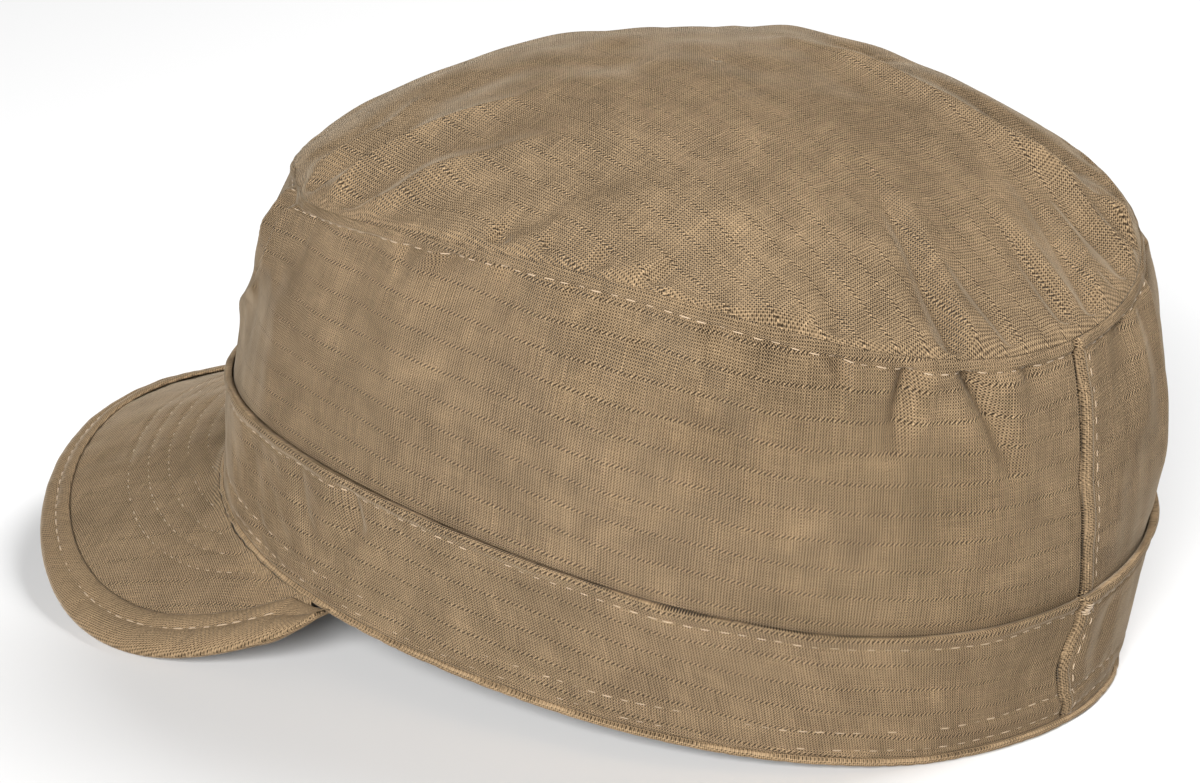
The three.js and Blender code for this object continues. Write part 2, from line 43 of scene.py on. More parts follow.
# The cap is worked out upright, in millimetres, with its foot level. Then it is laid on
# the floor, on the rear of its foot and the sides of its peak, as its solids are.
REST_PITCH = math.radians(-4.895178)
ORIGIN_SHIFT = (0.0, 23.7925, 9.06084)
MM_PER_METRE = 1000

FOOT = dict(length=105.0, width=74.3, shift=0.0, full=0.106, taper=-0.1, corner=0.032)
BAND = dict(length=108.8, width=83.3, shift=-2.0, full=0.054, taper=0.126, corner=-0.01,
            side=38.2, front=32.2, rear=28.6, wave=0.0)
SEAM = dict(length=93.2, width=75.7, shift=4.5, full=0.104, taper=0.014, corner=-0.014,
            side=96.2, front=85.0, rear=82.5, wave=2.2)
FRONT_RISE, RISE_ENDS_AT, RISE_POWER = 15.9, 115.0, 3.9
SIDE_RISE, REAR_DROP = 0.8, 1.5
FOOT_LIFT = 1.9
LANDING_START, LANDING_LEVEL = 94.0, -1.043

# Depth, angle and breadth of the dents of the top seam at the two front corners
PINCH, PINCH_AT, PINCH_WIDTH = 3.4, 40, 8.5

# The share of its height that a fold loses from its first place to its last
FOLD_FADE = 0.7

# How far the cloth beside the rear seam wanders with it, in radians
SWAY_REACH = 0.3


def laid(points):
    """Points of the upright cap in millimetres, as they lie on the floor, in metres."""
    x, y, z = np.moveaxis(np.asarray(points, float), -1, 0)
    turned_y = y * math.cos(REST_PITCH) - z * math.sin(REST_PITCH)
    turned_z = y * math.sin(REST_PITCH) + z * math.cos(REST_PITCH)
    return (np.stack([x, turned_y, turned_z], -1) + ORIGIN_SHIFT) / MM_PER_METRE


def foot_height(angle):
    c, end = np.cos(angle), math.cos(math.radians(RISE_ENDS_AT))
    rise = FRONT_RISE * np.clip((c - end) / (1 - end), 0, 1) ** RISE_POWER
    return rise + SIDE_RISE * np.sin(angle) ** 2 - REAR_DROP * np.clip(-c, 0, 1) ** 2


def ring(shape, angle, out=0.0, lift=0.0):
    """A point on one of the cap's rings; angle 0 is the front and a quarter turn the wearer's left."""
    c = np.cos(angle)

    def plan(turn):
        k = np.cos(turn)
        swell = 1 + 2 * shape["full"] * k * k - shape["taper"] * k + shape["corner"] * np.cos(3 * turn)
        return shape["width"] * np.sin(turn) * swell, shape["shift"] - shape["length"] * k

    x, y = plan(angle)
    (x1, y1), (x0, y0) = plan(angle + 1e-4), plan(angle - 1e-4)
    size = np.hypot(x1 - x0, y1 - y0)
    ox, oy = (y1 - y0) / size, -(x1 - x0) / size
    if "side" in shape:
        middle = (shape["front"] + shape["rear"]) / 2
        z = shape["side"] + (middle - shape["side"]) * c * c
        z = z + ((shape["front"] - shape["rear"]) / 2 - shape["wave"]) * c
        z = z + shape["wave"] * (4 * c**3 - 3 * c)
    else:
        z = foot_height(angle)
    return np.stack([x + ox * out, y + oy * out, z + lift + 0 * x], -1)


def outward(shape, angle):
    return ring(shape, angle, 1.0) - ring(shape, angle, 0.0)


def mixed(low, high, share):
    return low * (1 - share)[..., None] + high * share[..., None]


def folded(folds, u, v):
    """Relief of a table of folds: width, height, softness of the crest, then the places it runs through."""
    total = np.zeros_like(u)
    for width, height, soft, *path in folds:
        spans = list(zip(path[:-1], path[1:]))
        whole = sum(math.dist(start, stop) for start, stop in spans)
        near, share, done = np.full_like(u, 1e6), np.zeros_like(u), 0.0
        for start, stop in spans:
            du, dv = stop[0] - start[0], stop[1] - start[1]
            along = np.clip(((u - start[0]) * du + (v - start[1]) * dv) / (du * du + dv * dv), 0, 1)
            away = np.hypot(u - start[0] - along * du, v - start[1] - along * dv)
            share = np.where(away < near, (done + along * math.hypot(du, dv)) / whole, share)
            near = np.minimum(near, away)
            done += math.hypot(du, dv)
        total += height * (1 - FOLD_FADE * share**2) * np.exp(-((near / width) ** soft))
    return total


def placed(folds, over, up, shift=0.0):
    """The same folds with their paths in millimetres."""
    return [(*row[:3], *[(a * over, b * up + shift) for a, b in row[3:]]) for row in folds]


def swayed(angle, up, path):
    """The rear seam wanders from the middle, in degrees by share of height, and the cloth beside it too."""
    drift = np.radians(np.interp(up, [row[0] for row in path], [row[1] for row in path]))
    return angle + drift * np.exp(-(((angle - math.pi) / SWAY_REACH) ** 2))


def pinched(angle):
    """How far the top seam is drawn in at the two front corners."""
    off = np.abs((np.degrees(angle) + 180) % 360 - 180)
    return -PINCH * np.exp(-(((off - PINCH_AT) / PINCH_WIDTH) ** 2))


def rippled(u, v, size, seed, waves=9):
    """Slow uneven waves of about one millimetre, size long."""
    draw = np.random.RandomState(seed)
    total = np.zeros_like(u)
    for turn, stretch, phase in zip(draw.uniform(0, math.pi, waves), draw.uniform(0.6, 1.7, waves),
                                    draw.uniform(0, 2 * math.pi, waves)):
        total += np.sin((u * math.cos(turn) + v * math.sin(turn)) * 2 * math.pi / (size * stretch) + phase)
    return total / math.sqrt(waves)


def puckered(u, away, round_length, every, reach, seed):
    """Short creases that a seam pulls into the cloth, square to it, u along and away from it."""
    draw = np.random.RandomState(seed)
    count = int(round_length / every)
    total = np.zeros_like(u)
    places = (np.arange(count) + draw.uniform(-0.4, 0.4, count)) * every
    for place, width, slant, height, run in zip(places, draw.uniform(0.12, 0.3, count) * every,
                                                draw.uniform(-0.5, 0.5, count), draw.uniform(-1, 0.3, count),
                                                draw.uniform(0.4, 1.3, count) * reach):
        gap = (u - place - slant * away + round_length / 2) % round_length - round_length / 2
        total += height * np.exp(-((gap / width) ** 2) - (away / run) ** 2)
    return total


WALL_INSET = 1.8
WALL_CLOTH = 1.3
WALL_RUN = 58.0
WALL_HIDDEN = 30
SWELL, SWELL_LEAN = 2.9, 1.8
ROUND = math.radians(1) * (SEAM["length"] + SEAM["width"]) / 2
FLARE = 1.12
REAR_BEND = 1.18
LAP_WIDTH = 7
DIP_AT, DIP_WIDTH = -1.1, 0.55
RIDGE, RIDGE_SWELL = 2.4, 0.42
WALL_SWAY = [(0.01, 1.3), (0.27, -0.6), (0.5, -1.6), (0.99, 1.1)]

# Width and height in millimetres and softness, then angle and share of the height from place to place
WALL_FOLDS = [
    (2.0, -2.5, 2, (141.2, 1), (142.6, 0.907), (141.4, 0.79)), (2.6, 1.4, 1.5, (144.2, 0.96), (143.9, 0.8)),
    (1.9, -3.5, 2, (152.8, 1), (150.6, 0.857), (149.4, 0.68)), (2.6, 1.8, 1.5, (155, 0.95), (152.8, 0.7)),
    (3.5, 0.9, 2, (148.5, 0.95), (146.8, 0.74)), (2.0, -3.5, 2, (160, 1), (163, 0.833), (166.5, 0.6)),
    (3.2, 1.7, 1.5, (166.8, 0.9), (168.8, 0.64)), (3.0, 1.0, 2, (157, 0.95), (160.5, 0.72)),
    (3.2, 3.2, 1.1, (51, 0.99), (49, 0.83), (46.8, 0.69), (41.1, 0.49), (33.7, 0.36), (26, 0.2)),
    (5.0, -0.9, 2, (60, 0.97), (55, 0.75), (50, 0.5)), (3.8, -2.4, 2, (45, 0.95), (41.5, 0.75), (36, 0.5)),
    (3.4, 2.8, 1.2, (39, 0.95), (33, 0.75), (29, 0.5)), (7.0, -1.3, 2, (71, 0.92), (76.5, 0.3), (77, 0.05)),
    (8.0, 0.7, 2, (82, 0.8), (84, 0.15)), (9.0, -0.9, 2, (113, 0.88), (120, 0.8), (138, 0.52)),
    (8.0, 0.6, 2, (122, 0.92), (140, 0.66)), (1.8, -2.0, 2, (87, 0.965), (83.8, 0.883)),
    (2.2, 1.1, 2, (83.5, 0.96), (81, 0.9)), (1.6, -1.0, 2, (115.5, 0.835), (122.4, 0.826)),
    (1.8, -1.3, 2, (79, 0.94), (79.5, 0.84)), (1.8, -1.4, 2, (94.6, 0.96), (96, 0.9)),
    (1.8, -1.2, 2, (105.4, 0.955), (105, 0.9)), (2.0, -1.2, 2, (125.5, 0.96), (126.5, 0.89)),
    (2.2, -1.1, 2, (133, 0.96), (132, 0.88)), (2.0, -1.2, 2, (170.5, 0.96), (171, 0.86)),
    (4.0, 2.0, 1.3, (203, 0.92), (202.7, 0.867), (201.5, 0.453), (201, 0.3)),
    (5.0, -1.1, 2, (191.3, 0.95), (188, 0.6)), (5.0, -1.7, 2, (209, 0.97), (206, 0.6)),
    (3.5, 0.9, 2, (196, 0.97), (195, 0.6)), (4.5, 1.6, 1.4, (216, 0.96), (219, 0.55)),
    (5.0, -1.2, 2, (226, 0.96), (224, 0.7)), (4.0, 2.0, 1.3, (307, 0.99), (314, 0.7), (336, 0.25)),
    (5.0, -1.2, 2, (300, 0.97), (308, 0.6)), (7.0, -1.2, 2, (287, 0.92), (281, 0.3), (278, 0.1)),
    (2.4, -1.8, 2, (247, 1), (250, 0.8)), (2.4, -1.4, 2, (262, 1), (260, 0.84)),
    (4.0, 1.2, 2, (254, 0.96), (254, 0.7)), (3.0, -1.2, 2, (8, 0.97), (12, 0.7)),
    (3.5, 1.2, 2, (352, 0.97), (347, 0.7)),
]


def seam_fade(share, reach):
    edge = np.clip(np.minimum(share, 1 - share) / reach, 0, 1)
    return edge * edge * (3 - 2 * edge)


def beside_seam(angle, lap, groove):
    """The upper layer of a lapped rear seam lies a little proud; the lower one dips beside its fold."""
    off = (angle - math.pi) * SEAM["width"] * REAR_BEND
    dip = groove * np.exp(-(((off - DIP_AT) / DIP_WIDTH) ** 2))
    return lap * np.exp(-((off / LAP_WIDTH) ** 2)) * (off > 0) - dip


def wall_face(angle, up):
    """Outer face of the wall, up from 0 at the band's edge to 1 at the top seam."""
    place = swayed(angle, up, WALL_SWAY)
    low, high = ring(BAND, place, -WALL_INSET), ring(SEAM, place, pinched(place))
    swell = (SWELL - SWELL_LEAN * np.cos(angle)) * np.sin(math.pi * np.clip(up, 0, 1))
    u, v = np.degrees(angle) * ROUND, up * WALL_RUN
    from_seam = (1 - up) * WALL_RUN
    below = np.clip((from_seam - RIDGE + 0.6) / 1.4, 0, 1)
    folds = folded(placed(WALL_FOLDS, ROUND, WALL_RUN), u, v) * below * np.clip(up / 0.04, 0, 1)
    waves = (0.42 * rippled(u, v * 0.6, 34, 3) + 0.12 * rippled(u, v, 11, 4)) * seam_fade(up, 0.12)
    pulls = 0.75 * puckered(u, np.clip(from_seam - RIDGE, 0, None), 360 * ROUND, 8.0, 6.0, 11)
    ridge = RIDGE_SWELL * np.sin(math.pi * np.clip(from_seam / RIDGE, 0, 1)) ** 0.6
    ridge = ridge * (1 + 0.3 * rippled(u, 0 * v, 7, 13))
    groove = -0.34 * np.exp(-(((from_seam - RIDGE - 0.3) / 0.5) ** 2))
    out = swell + folds + waves + pulls * below + ridge + groove + beside_seam(angle, 0.6, 2.6)
    return mixed(low, high, up) + outward(BAND, place) * out[..., None]


def landing(angle, y):
    """How far the last stretch of the foot is lifted to lie level."""
    level = LANDING_LEVEL + math.tan(-REST_PITCH) * (y - LANDING_START)
    return np.where(y < LANDING_START, 0.0, level - foot_height(angle))


def foot_face(angle, up, inward):
    """A layer between the foot and the band's upper edge, up from 0 to 1."""
    low, high = ring(FOOT, angle, -inward, FOOT_LIFT), ring(BAND, angle, -inward)
    low[..., 2] += landing(angle, low[..., 1])
    return mixed(low, high, up)


def grid_faces(k):
    """Faces between a grid of point numbers."""
    return np.stack([k[:-1, :-1], k[:-1, 1:], k[1:, 1:], k[1:, :-1]], -1).reshape(-1, 4)


def shell(name, outer, inner, pattern, closed=False):
    """A piece of cloth between two grids of points; pattern is its flat cut in millimetres.

    In a closed one the grids' last column lies on the first, and the cloth runs on over it.
    """
    if closed:
        outer, inner, pattern = outer[:, :-1], inner[:, :-1], pattern[:, :-1]
    rows, columns = outer.shape[:2]
    count = rows * columns
    k = np.arange(count).reshape(rows, columns)
    if closed:
        k = np.column_stack([k, k[:, 0]])
        rims = [k[0], k[-1, ::-1]]
    else:
        rims = [np.concatenate([k[0], k[1:, -1], k[-1, -2::-1], k[-2::-1, 0]])]
    sheet = grid_faces(k)
    edges = [np.stack([rim[1:], rim[:-1], rim[:-1] + count, rim[1:] + count], -1) for rim in rims]
    faces = np.concatenate([sheet, sheet[:, ::-1] + count, *edges])
    points = laid(np.concatenate([outer.reshape(-1, 3), inner.reshape(-1, 3)]))
    piece = built(name, points, faces.tolist(), np.concatenate([pattern.reshape(-1, 2)] * 2))
    return facing_out(piece, points, faces)


def in_scene(name, data):
    """A new object in the scene."""
    item = bpy.data.objects.new(name, data)
    bpy.context.scene.collection.objects.link(item)
    return item


def built(name, points, faces, pattern=None):
    """A smooth mesh in the scene, its points in metres."""
    mesh = bpy.data.meshes.new(name)
    mesh.from_pydata(points.tolist(), [], faces)
    if pattern is not None:
        flat = mesh.attributes.new("pattern", "FLOAT_VECTOR", "POINT")
        flat.data.foreach_set("vector", np.column_stack([pattern, np.zeros(len(pattern))]).ravel())
    mesh.polygons.foreach_set("use_smooth", [True] * len(mesh.polygons))
    return in_scene(name, mesh)


def facing_out(piece, points, faces):
    """Turns a closed piece's faces outwards when the volume that its squares close in is negative."""
    corner = points[faces]
    halves = [np.cross(corner[:, 1], corner[:, 2]), np.cross(corner[:, 2], corner[:, 3])]
    if sum(float(np.einsum("ij,ij->i", corner[:, 0], half).sum()) for half in halves) < 0:
        piece.data.flip_normals()
    return piece


def square_to(points):
    """Unit normals of a grid of points."""
    along = np.gradient(points, axis=1)
    across = np.gradient(points, axis=0)
    normal = np.cross(along, across)
    return normal / np.linalg.norm(normal, axis=-1, keepdims=True)


def added(tree, kind, inputs=(), operation=None):
    """A new shader node, with the values of its inputs by name or number."""
    node = tree.nodes.new("ShaderNode" + kind)
    if operation:
        node.operation = operation
    if kind == "Mix":
        node.data_type = "RGBA"
    for socket, value in dict(inputs).items():
        node.inputs[socket].default_value = value
    return node


def new_material(name, inputs):
    """A new material and its shader, with the values of the shader's inputs."""
    material = bpy.data.materials.new(name)
    material.use_nodes = True
    shader = material.node_tree.nodes["Principled BSDF"]
    for socket, value in inputs.items():
        shader.inputs[socket].default_value = value
    return material, shader


# Breadth of the stout row and the thin column, and pitch of the rope and the beads on them, in millimetres
ROW_WIDTH, COLUMN_WIDTH = 0.55, 0.34
ROPE_PITCH, BEAD_PITCH = 1.02, 0.62


def cloth_group():
    """Ripstop weave: fine and plain, with a stout rope-like row and a thin column every few millimetres."""
    tree = bpy.data.node_groups.new("ripstop weave", "ShaderNodeTree")
    for label, kind, value in (("Pattern", "NodeSocketVector", None), ("Row spacing", "NodeSocketFloat", 6.0),
                               ("Column spacing", "NodeSocketFloat", 5.8),
                               ("Thread", "NodeSocketFloat", 0.6)):
        socket = tree.interface.new_socket(label, in_out="INPUT", socket_type=kind)
        if value is not None:
            socket.default_value = value
    for label in ("Height", "Rows", "Tone"):
        tree.interface.new_socket(label, in_out="OUTPUT", socket_type="NodeSocketFloat")
    entry = tree.nodes.new("NodeGroupInput")
    leave = tree.nodes.new("NodeGroupOutput")

    def maths(operation, *values):
        node = tree.nodes.new("ShaderNodeMath")
        node.operation = operation
        for socket, value in zip(node.inputs, values):
            if isinstance(value, (int, float)):
                socket.default_value = value
            else:
                tree.links.new(value, socket)
        return node.outputs[0]

    def noise(scale, stretch, detail=2.0):
        grid = added(tree, "VectorMath", {1: (*stretch, 1)}, "MULTIPLY")
        node = added(tree, "TexNoise", {"Scale": scale, "Detail": detail})
        tree.links.new(entry.outputs["Pattern"], grid.inputs[0])
        tree.links.new(grid.outputs[0], node.inputs["Vector"])
        return node

    shift = added(tree, "VectorMath", {1: (1.6, 1.6, 0)}, "MULTIPLY_ADD")
    split = added(tree, "SeparateXYZ")
    tree.links.new(noise(0.04, (1, 1), 1.0).outputs["Color"], shift.inputs[0])
    tree.links.new(entry.outputs["Pattern"], shift.inputs[2])
    tree.links.new(shift.outputs[0], split.inputs[0])
    u, v = split.outputs[0], split.outputs[1]

    def wave(place, length):
        return maths("SINE", maths("MULTIPLY", maths("DIVIDE", place, length), 2 * math.pi))

    def line(place, spacing, width):
        beat = maths("SUBTRACT", maths("FRACT", maths("DIVIDE", place, spacing)), 0.5)
        away = maths("MULTIPLY", maths("ABSOLUTE", beat), spacing)
        near = maths("SUBTRACT", 1.0, maths("DIVIDE", away, width))
        return maths("SMOOTH_MAX", near, 0.0, 0.1)

    def centred(node, size):
        return maths("MULTIPLY", maths("SUBTRACT", node.outputs["Fac"], 0.5), size)

    def total(*parts):
        result = parts[0]
        for part in parts[1:]:
            result = maths("ADD", result, part)
        return result

    thread = entry.outputs["Thread"]
    ribs = wave(u, thread)
    plain = maths("MULTIPLY", ribs, wave(v, thread))
    row = line(v, entry.outputs["Row spacing"], ROW_WIDTH)
    column = line(u, entry.outputs["Column spacing"], COLUMN_WIDTH)
    rope = maths("MULTIPLY_ADD", wave(maths("SUBTRACT", u, v), ROPE_PITCH), 0.5, 0.5)
    beads = maths("MULTIPLY_ADD", wave(v, BEAD_PITCH), 0.5, 0.5)
    grooves = maths("MULTIPLY", maths("SUBTRACT", 1.0, rope), row)
    dots = maths("MULTIPLY", maths("SUBTRACT", 1.0, beads), column)
    crests = maths("MULTIPLY", rope, row)
    patchy = maths("MULTIPLY_ADD", noise(0.12, (1, 1)).outputs["Fac"], 1.6, 0.2)
    weave = maths("MULTIPLY", total(maths("MULTIPLY", plain, 0.55), maths("MULTIPLY", ribs, 0.26)), patchy)
    yarns = total(centred(noise(2.2, (1, 0.06)), 0.6), centred(noise(2.2, (0.06, 1)), 0.4))
    fibres = centred(noise(3.0, (1, 1), 3.0), 1.1)
    height = total(weave, maths("MULTIPLY", crests, 0.7), maths("MULTIPLY", grooves, -0.5),
                   maths("MULTIPLY", dots, -0.4), maths("MULTIPLY", fibres, 0.4))
    tone = total(weave, yarns, fibres, maths("MULTIPLY", crests, 0.75), maths("MULTIPLY", grooves, -0.85),
                 maths("MULTIPLY", dots, -0.75), maths("MULTIPLY", column, 0.42))
    tree.links.new(height, leave.inputs["Height"])
    tree.links.new(row, leave.inputs["Rows"])
    tree.links.new(tone, leave.inputs["Tone"])
    return tree


def fade_and_crest_highlight_group():
    """Slow cloudy fading of the cloth's colour, and a painted highlight that lightens the colour along the
    crests of the folds.
    """
    tree = bpy.data.node_groups.new("fading and painted crest highlight", "ShaderNodeTree")
    tree.interface.new_socket("Size", in_out="INPUT", socket_type="NodeSocketFloat").default_value = 30.0
    tree.interface.new_socket("Fade", in_out="OUTPUT", socket_type="NodeSocketFloat")
    entry = tree.nodes.new("NodeGroupInput")
    leave = tree.nodes.new("NodeGroupOutput")
    place = added(tree, "TexCoord")
    cloud = added(tree, "TexNoise", {"Detail": 4.0})
    # Painted highlight: the pointed crests of folds are made lighter in colour, in place of light catching
    # them.
    crest_shape = added(tree, "NewGeometry")
    crest = added(tree, "MapRange", {"From Min": 0.5, "From Max": 0.62, "To Max": 0.3})
    centred = added(tree, "Math", {1: 0.5}, "SUBTRACT")
    total = added(tree, "Math", operation="ADD")
    tree.links.new(place.outputs["Object"], cloud.inputs["Vector"])
    tree.links.new(entry.outputs["Size"], cloud.inputs["Scale"])
    tree.links.new(cloud.outputs["Fac"], centred.inputs[0])
    tree.links.new(crest_shape.outputs["Pointiness"], crest.inputs["Value"])
    tree.links.new(centred.outputs[0], total.inputs[0])
    tree.links.new(crest.outputs[0], total.inputs[1])
    tree.links.new(total.outputs[0], leave.inputs["Fade"])
    return tree


WEAVE, FADE_AND_CREST_HIGHLIGHT = cloth_group(), fade_and_crest_highlight_group()


def cloth(name, dark, light, turn=0.0, relief=0.00045, rows=6.0, columns=5.8):
    """Matt ripstop cotton with a painted highlight on its crests and at grazing angles; turn is the angle of
    its grain on the flat pattern, in degrees.
    """
    material, shader = new_material(name, {
        "Roughness": 0.88, "Specular IOR Level": 0.06,
        "Sheen Weight": 0.04, "Sheen Roughness": 0.3, "Sheen Tint": (1, 0.9, 0.78, 1),
    })
    tree = material.node_tree
    flat = added(tree, "Attribute")
    flat.attribute_name = "pattern"
    grain = added(tree, "Mapping", {"Rotation": (0, 0, math.radians(turn))})
    weave, fading_and_highlight = added(tree, "Group"), added(tree, "Group")
    weave.node_tree, fading_and_highlight.node_tree = WEAVE, FADE_AND_CREST_HIGHLIGHT
    weave.inputs["Row spacing"].default_value = rows
    weave.inputs["Column spacing"].default_value = columns
    tone = added(tree, "Math", operation="ADD")
    # The fading, with its painted crest highlight, shifts the mix between dark and light cloth.
    fade_and_highlight = added(tree, "Math", {1: 0.45, 2: 0.5}, "MULTIPLY_ADD")
    colours = added(tree, "Mix", {"A": (*dark, 1), "B": (*light, 1)})
    # Painted highlight: where the surface is seen at a grazing angle, the colour is mixed toward a pale tan
    # in place of light wrapping round the edges.
    slant = added(tree, "LayerWeight")
    grazing_share = added(tree, "MapRange", {"From Min": 0.64, "To Max": 0.58})
    painted_grazing_highlight = added(tree, "Mix", {"B": (0.56, 0.46, 0.34, 1)})
    bump = added(tree, "Bump", {"Distance": relief, "Strength": 1.0})
    links = tree.links
    links.new(flat.outputs["Vector"], grain.inputs["Vector"])
    links.new(grain.outputs[0], weave.inputs["Pattern"])
    links.new(fading_and_highlight.outputs["Fade"], fade_and_highlight.inputs[0])
    links.new(weave.outputs["Tone"], tone.inputs[0])
    links.new(fade_and_highlight.outputs[0], tone.inputs[1])
    links.new(tone.outputs[0], colours.inputs["Factor"])
    links.new(slant.outputs["Facing"], grazing_share.inputs["Value"])
    links.new(grazing_share.outputs[0], painted_grazing_highlight.inputs["Factor"])
    links.new(colours.outputs["Result"], painted_grazing_highlight.inputs["A"])
    links.new(painted_grazing_highlight.outputs["Result"], shader.inputs["Base Color"])
    links.new(weave.outputs["Height"], bump.inputs["Height"])
    links.new(bump.outputs[0], shader.inputs["Normal"])
    return material


def joined(piece, material, slot, *nodes):
    """Gives a piece its cloth and its place on the cap; slot is not used."""
    piece.data.materials.append(material)
    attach(piece, "root")
    if nodes:
        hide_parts(*nodes)
    return piece


def spread(*stops):
    """Places from stop to stop, finer where cloth is creased or sewn; each later stop has a count."""
    parts = [np.linspace(start[0], stop[0], stop[1] + 1)[:-1] for start, stop in zip(stops[:-1], stops[1:])]
    return np.concatenate([*parts, [stops[-1][0]]])


SEAM_STOP = 179.98
across = np.radians(spread((-SEAM_STOP,), (-177, 18), (-130, 86), (0, 112), (176, 338), (SEAM_STOP, 30)))
turned = np.where(across < 0, across + 2 * math.pi, across)
ridge_start = 1 - (RIDGE + 1) / WALL_RUN
rows_up = np.concatenate([np.linspace(0, 0.9, 52)[:-1], np.linspace(0.9, ridge_start, 6)[:-1],
                          np.linspace(ridge_start, 1, 14)])
A, U = np.meshgrid(turned, rows_up)
wall_outer = wall_face(A, U)
A, U = np.meshgrid(turned, np.linspace(0, 1, 9)[:-1])
wall_outer = np.concatenate([foot_face(A, U, WALL_INSET), wall_outer])
wall_normal = square_to(wall_outer)
facing = np.sign((wall_normal * outward(BAND, np.meshgrid(turned, np.arange(len(wall_outer)))[0])).sum(-1))
wall_inner = wall_outer - wall_normal * facing[..., None] * WALL_CLOTH
wall_inner[-1, :, 2] = wall_outer[-1, :, 2]
rise = (ring(SEAM, turned) - ring(BAND, turned))[:, 2]
below_band = np.linspace(-WALL_HIDDEN, 0, 9)[:-1, None] * np.ones_like(turned)
heights = np.concatenate([below_band, rows_up[:, None] * rise])
flat_u = np.meshgrid(np.degrees(across) * ROUND * FLARE, heights[:, 0])[0]
wall_pattern = np.stack([flat_u, heights], -1)
CLOTH_DARK, CLOTH_LIGHT = (0.043, 0.028, 0.015), (0.41, 0.285, 0.163)
wall_cloth = cloth("wall ripstop", CLOTH_DARK, CLOTH_LIGHT)
crown_wall = shell("crown_wall", wall_outer, wall_inner, wall_pattern)
joined(crown_wall, wall_cloth, "ripstop_cloth", "crown_side")

# Top of the crown
# An oval panel of the same cloth with its grain turned square to the wall's, puffed up
# above its seam, with soft folds running in from the front corners and sharp ones gathered at the rear.
TOP_CLOTH = 1.3
TOP_EDGE = 0.9
TOP_LIFT, TOP_CALM = 0.15, 3.2
DOME_RISE, DOME_POWER, DOME_LEAN = 28.0, 2.25, 4.0

# Width and height in millimetres and softness, then side and back shares from place to place
TOP_FOLDS = [
    (3.4, 3.2, 1.1, (0.95, -0.57), (0.9, -0.51), (0.8, -0.47), (0.69, -0.39), (0.6, -0.31), (0.5, -0.25)),
    (4.5, -2.6, 2, (0.95, -0.47), (0.85, -0.37), (0.75, -0.29)),
    (4.0, -2.8, 2, (0.83, -0.64), (0.71, -0.52), (0.58, -0.44)),
    (3.2, 3.0, 1.1, (0.69, -0.8), (0.72, -0.64), (0.61, -0.57), (0.48, -0.56)),
    (3.8, 2.8, 1.2, (0.98, -0.4), (0.91, -0.3), (0.85, -0.26), (0.77, -0.19), (0.65, -0.07)),
    (5.0, -1.7, 2, (0.97, -0.3), (0.88, -0.16), (0.76, -0.06)),
    (5.0, -1.1, 1.8, (0.95, 0.05), (0.86, 0.09), (0.77, 0.13), (0.56, 0.18)),
    (6.0, 0.7, 2, (0.93, 0.13), (0.8, 0.2), (0.62, 0.26)), (1.7, -1.8, 2, (0.97, 0.03), (0.91, 0.02)),
    (1.6, -1.5, 2, (0.97, 0.17), (0.92, 0.16)), (1.7, -1.8, 2, (0.96, 0.3), (0.9, 0.3)),
    (2.2, -1.9, 2, (0.95, 0.42), (0.83, 0.44)), (3.0, 1.2, 2, (0.96, 0.37), (0.86, 0.38)),
    (3.0, -0.7, 2, (0.69, 0.49), (0.82, 0.6)), (3.0, -1.3, 1.8, (0.68, 0.78), (0.63, 0.72), (0.49, 0.6)),
    (2.8, -3.7, 1.6, (0.43, 0.98), (0.41, 0.93), (0.33, 0.79), (0.2, 0.6), (0.15, 0.52)),
    (3.2, 2.2, 1.5, (0.35, 0.94), (0.27, 0.82), (0.17, 0.66), (0.1, 0.6)),
    (5.0, 1.2, 2, (0.5, 0.9), (0.44, 0.8), (0.3, 0.64)), (2.2, -1.6, 2, (0.22, 0.96), (0.21, 0.8)),
    (2.4, -2.2, 2, (-0.03, 0.95), (-0.09, 0.72)), (2.6, 1.6, 1.6, (-0.1, 0.93), (-0.14, 0.7)),
    (2.8, -2.4, 1.8, (-0.16, 0.96), (-0.25, 0.8), (-0.32, 0.66)),
    (3.0, 2.0, 1.4, (-0.22, 0.94), (-0.29, 0.86), (-0.39, 0.7)),
    (4.0, 4.3, 1.6, (-0.57, 0.81), (-0.53, 0.71), (-0.46, 0.61), (-0.41, 0.49), (-0.37, 0.34),
     (-0.35, 0.19), (-0.36, -0.01)),
    (4.5, -1.4, 2, (-0.7, 0.68), (-0.63, 0.54), (-0.57, 0.39), (-0.54, 0.24), (-0.53, 0.04), (-0.54, -0.08)),
    (11.0, 3.2, 2, (-0.66, -0.15), (-0.76, 0.13), (-0.74, 0.15)),
    (11.0, 1.4, 2, (-0.73, 0.37), (-0.77, 0.57), (-0.76, 0.59)),
    (3.0, 3.0, 1.2, (-0.49, 0.9), (-0.47, 0.81), (-0.49, 0.7), (-0.45, 0.58)),
    (3.2, -2.0, 1.8, (-0.41, 0.9), (-0.4, 0.8), (-0.39, 0.66)),
    (3.2, -2.6, 1.8, (-0.54, 0.86), (-0.55, 0.75), (-0.53, 0.6)),
    (2.6, 2.4, 1.3, (-0.56, 0.85), (-0.59, 0.77), (-0.67, 0.66)),
    (14.0, -2.1, 2, (-0.35, -0.8), (0.25, -0.92)),
    (14.0, -1.5, 2, (-0.8, 0.5), (-0.35, 0.9)), (3.4, 1.8, 1.4, (-0.88, -0.55), (-0.6, -0.32)),
    (3.0, 1.3, 1.5, (-0.7, -0.72), (-0.55, -0.5)), (5.0, -1.0, 2, (-0.92, -0.2), (-0.72, -0.02)),
    (3.0, 1.0, 1.6, (0.3, -0.95), (0.26, -0.75)), (3.0, -1.0, 2, (0.05, -0.97), (0.04, -0.8)),
]


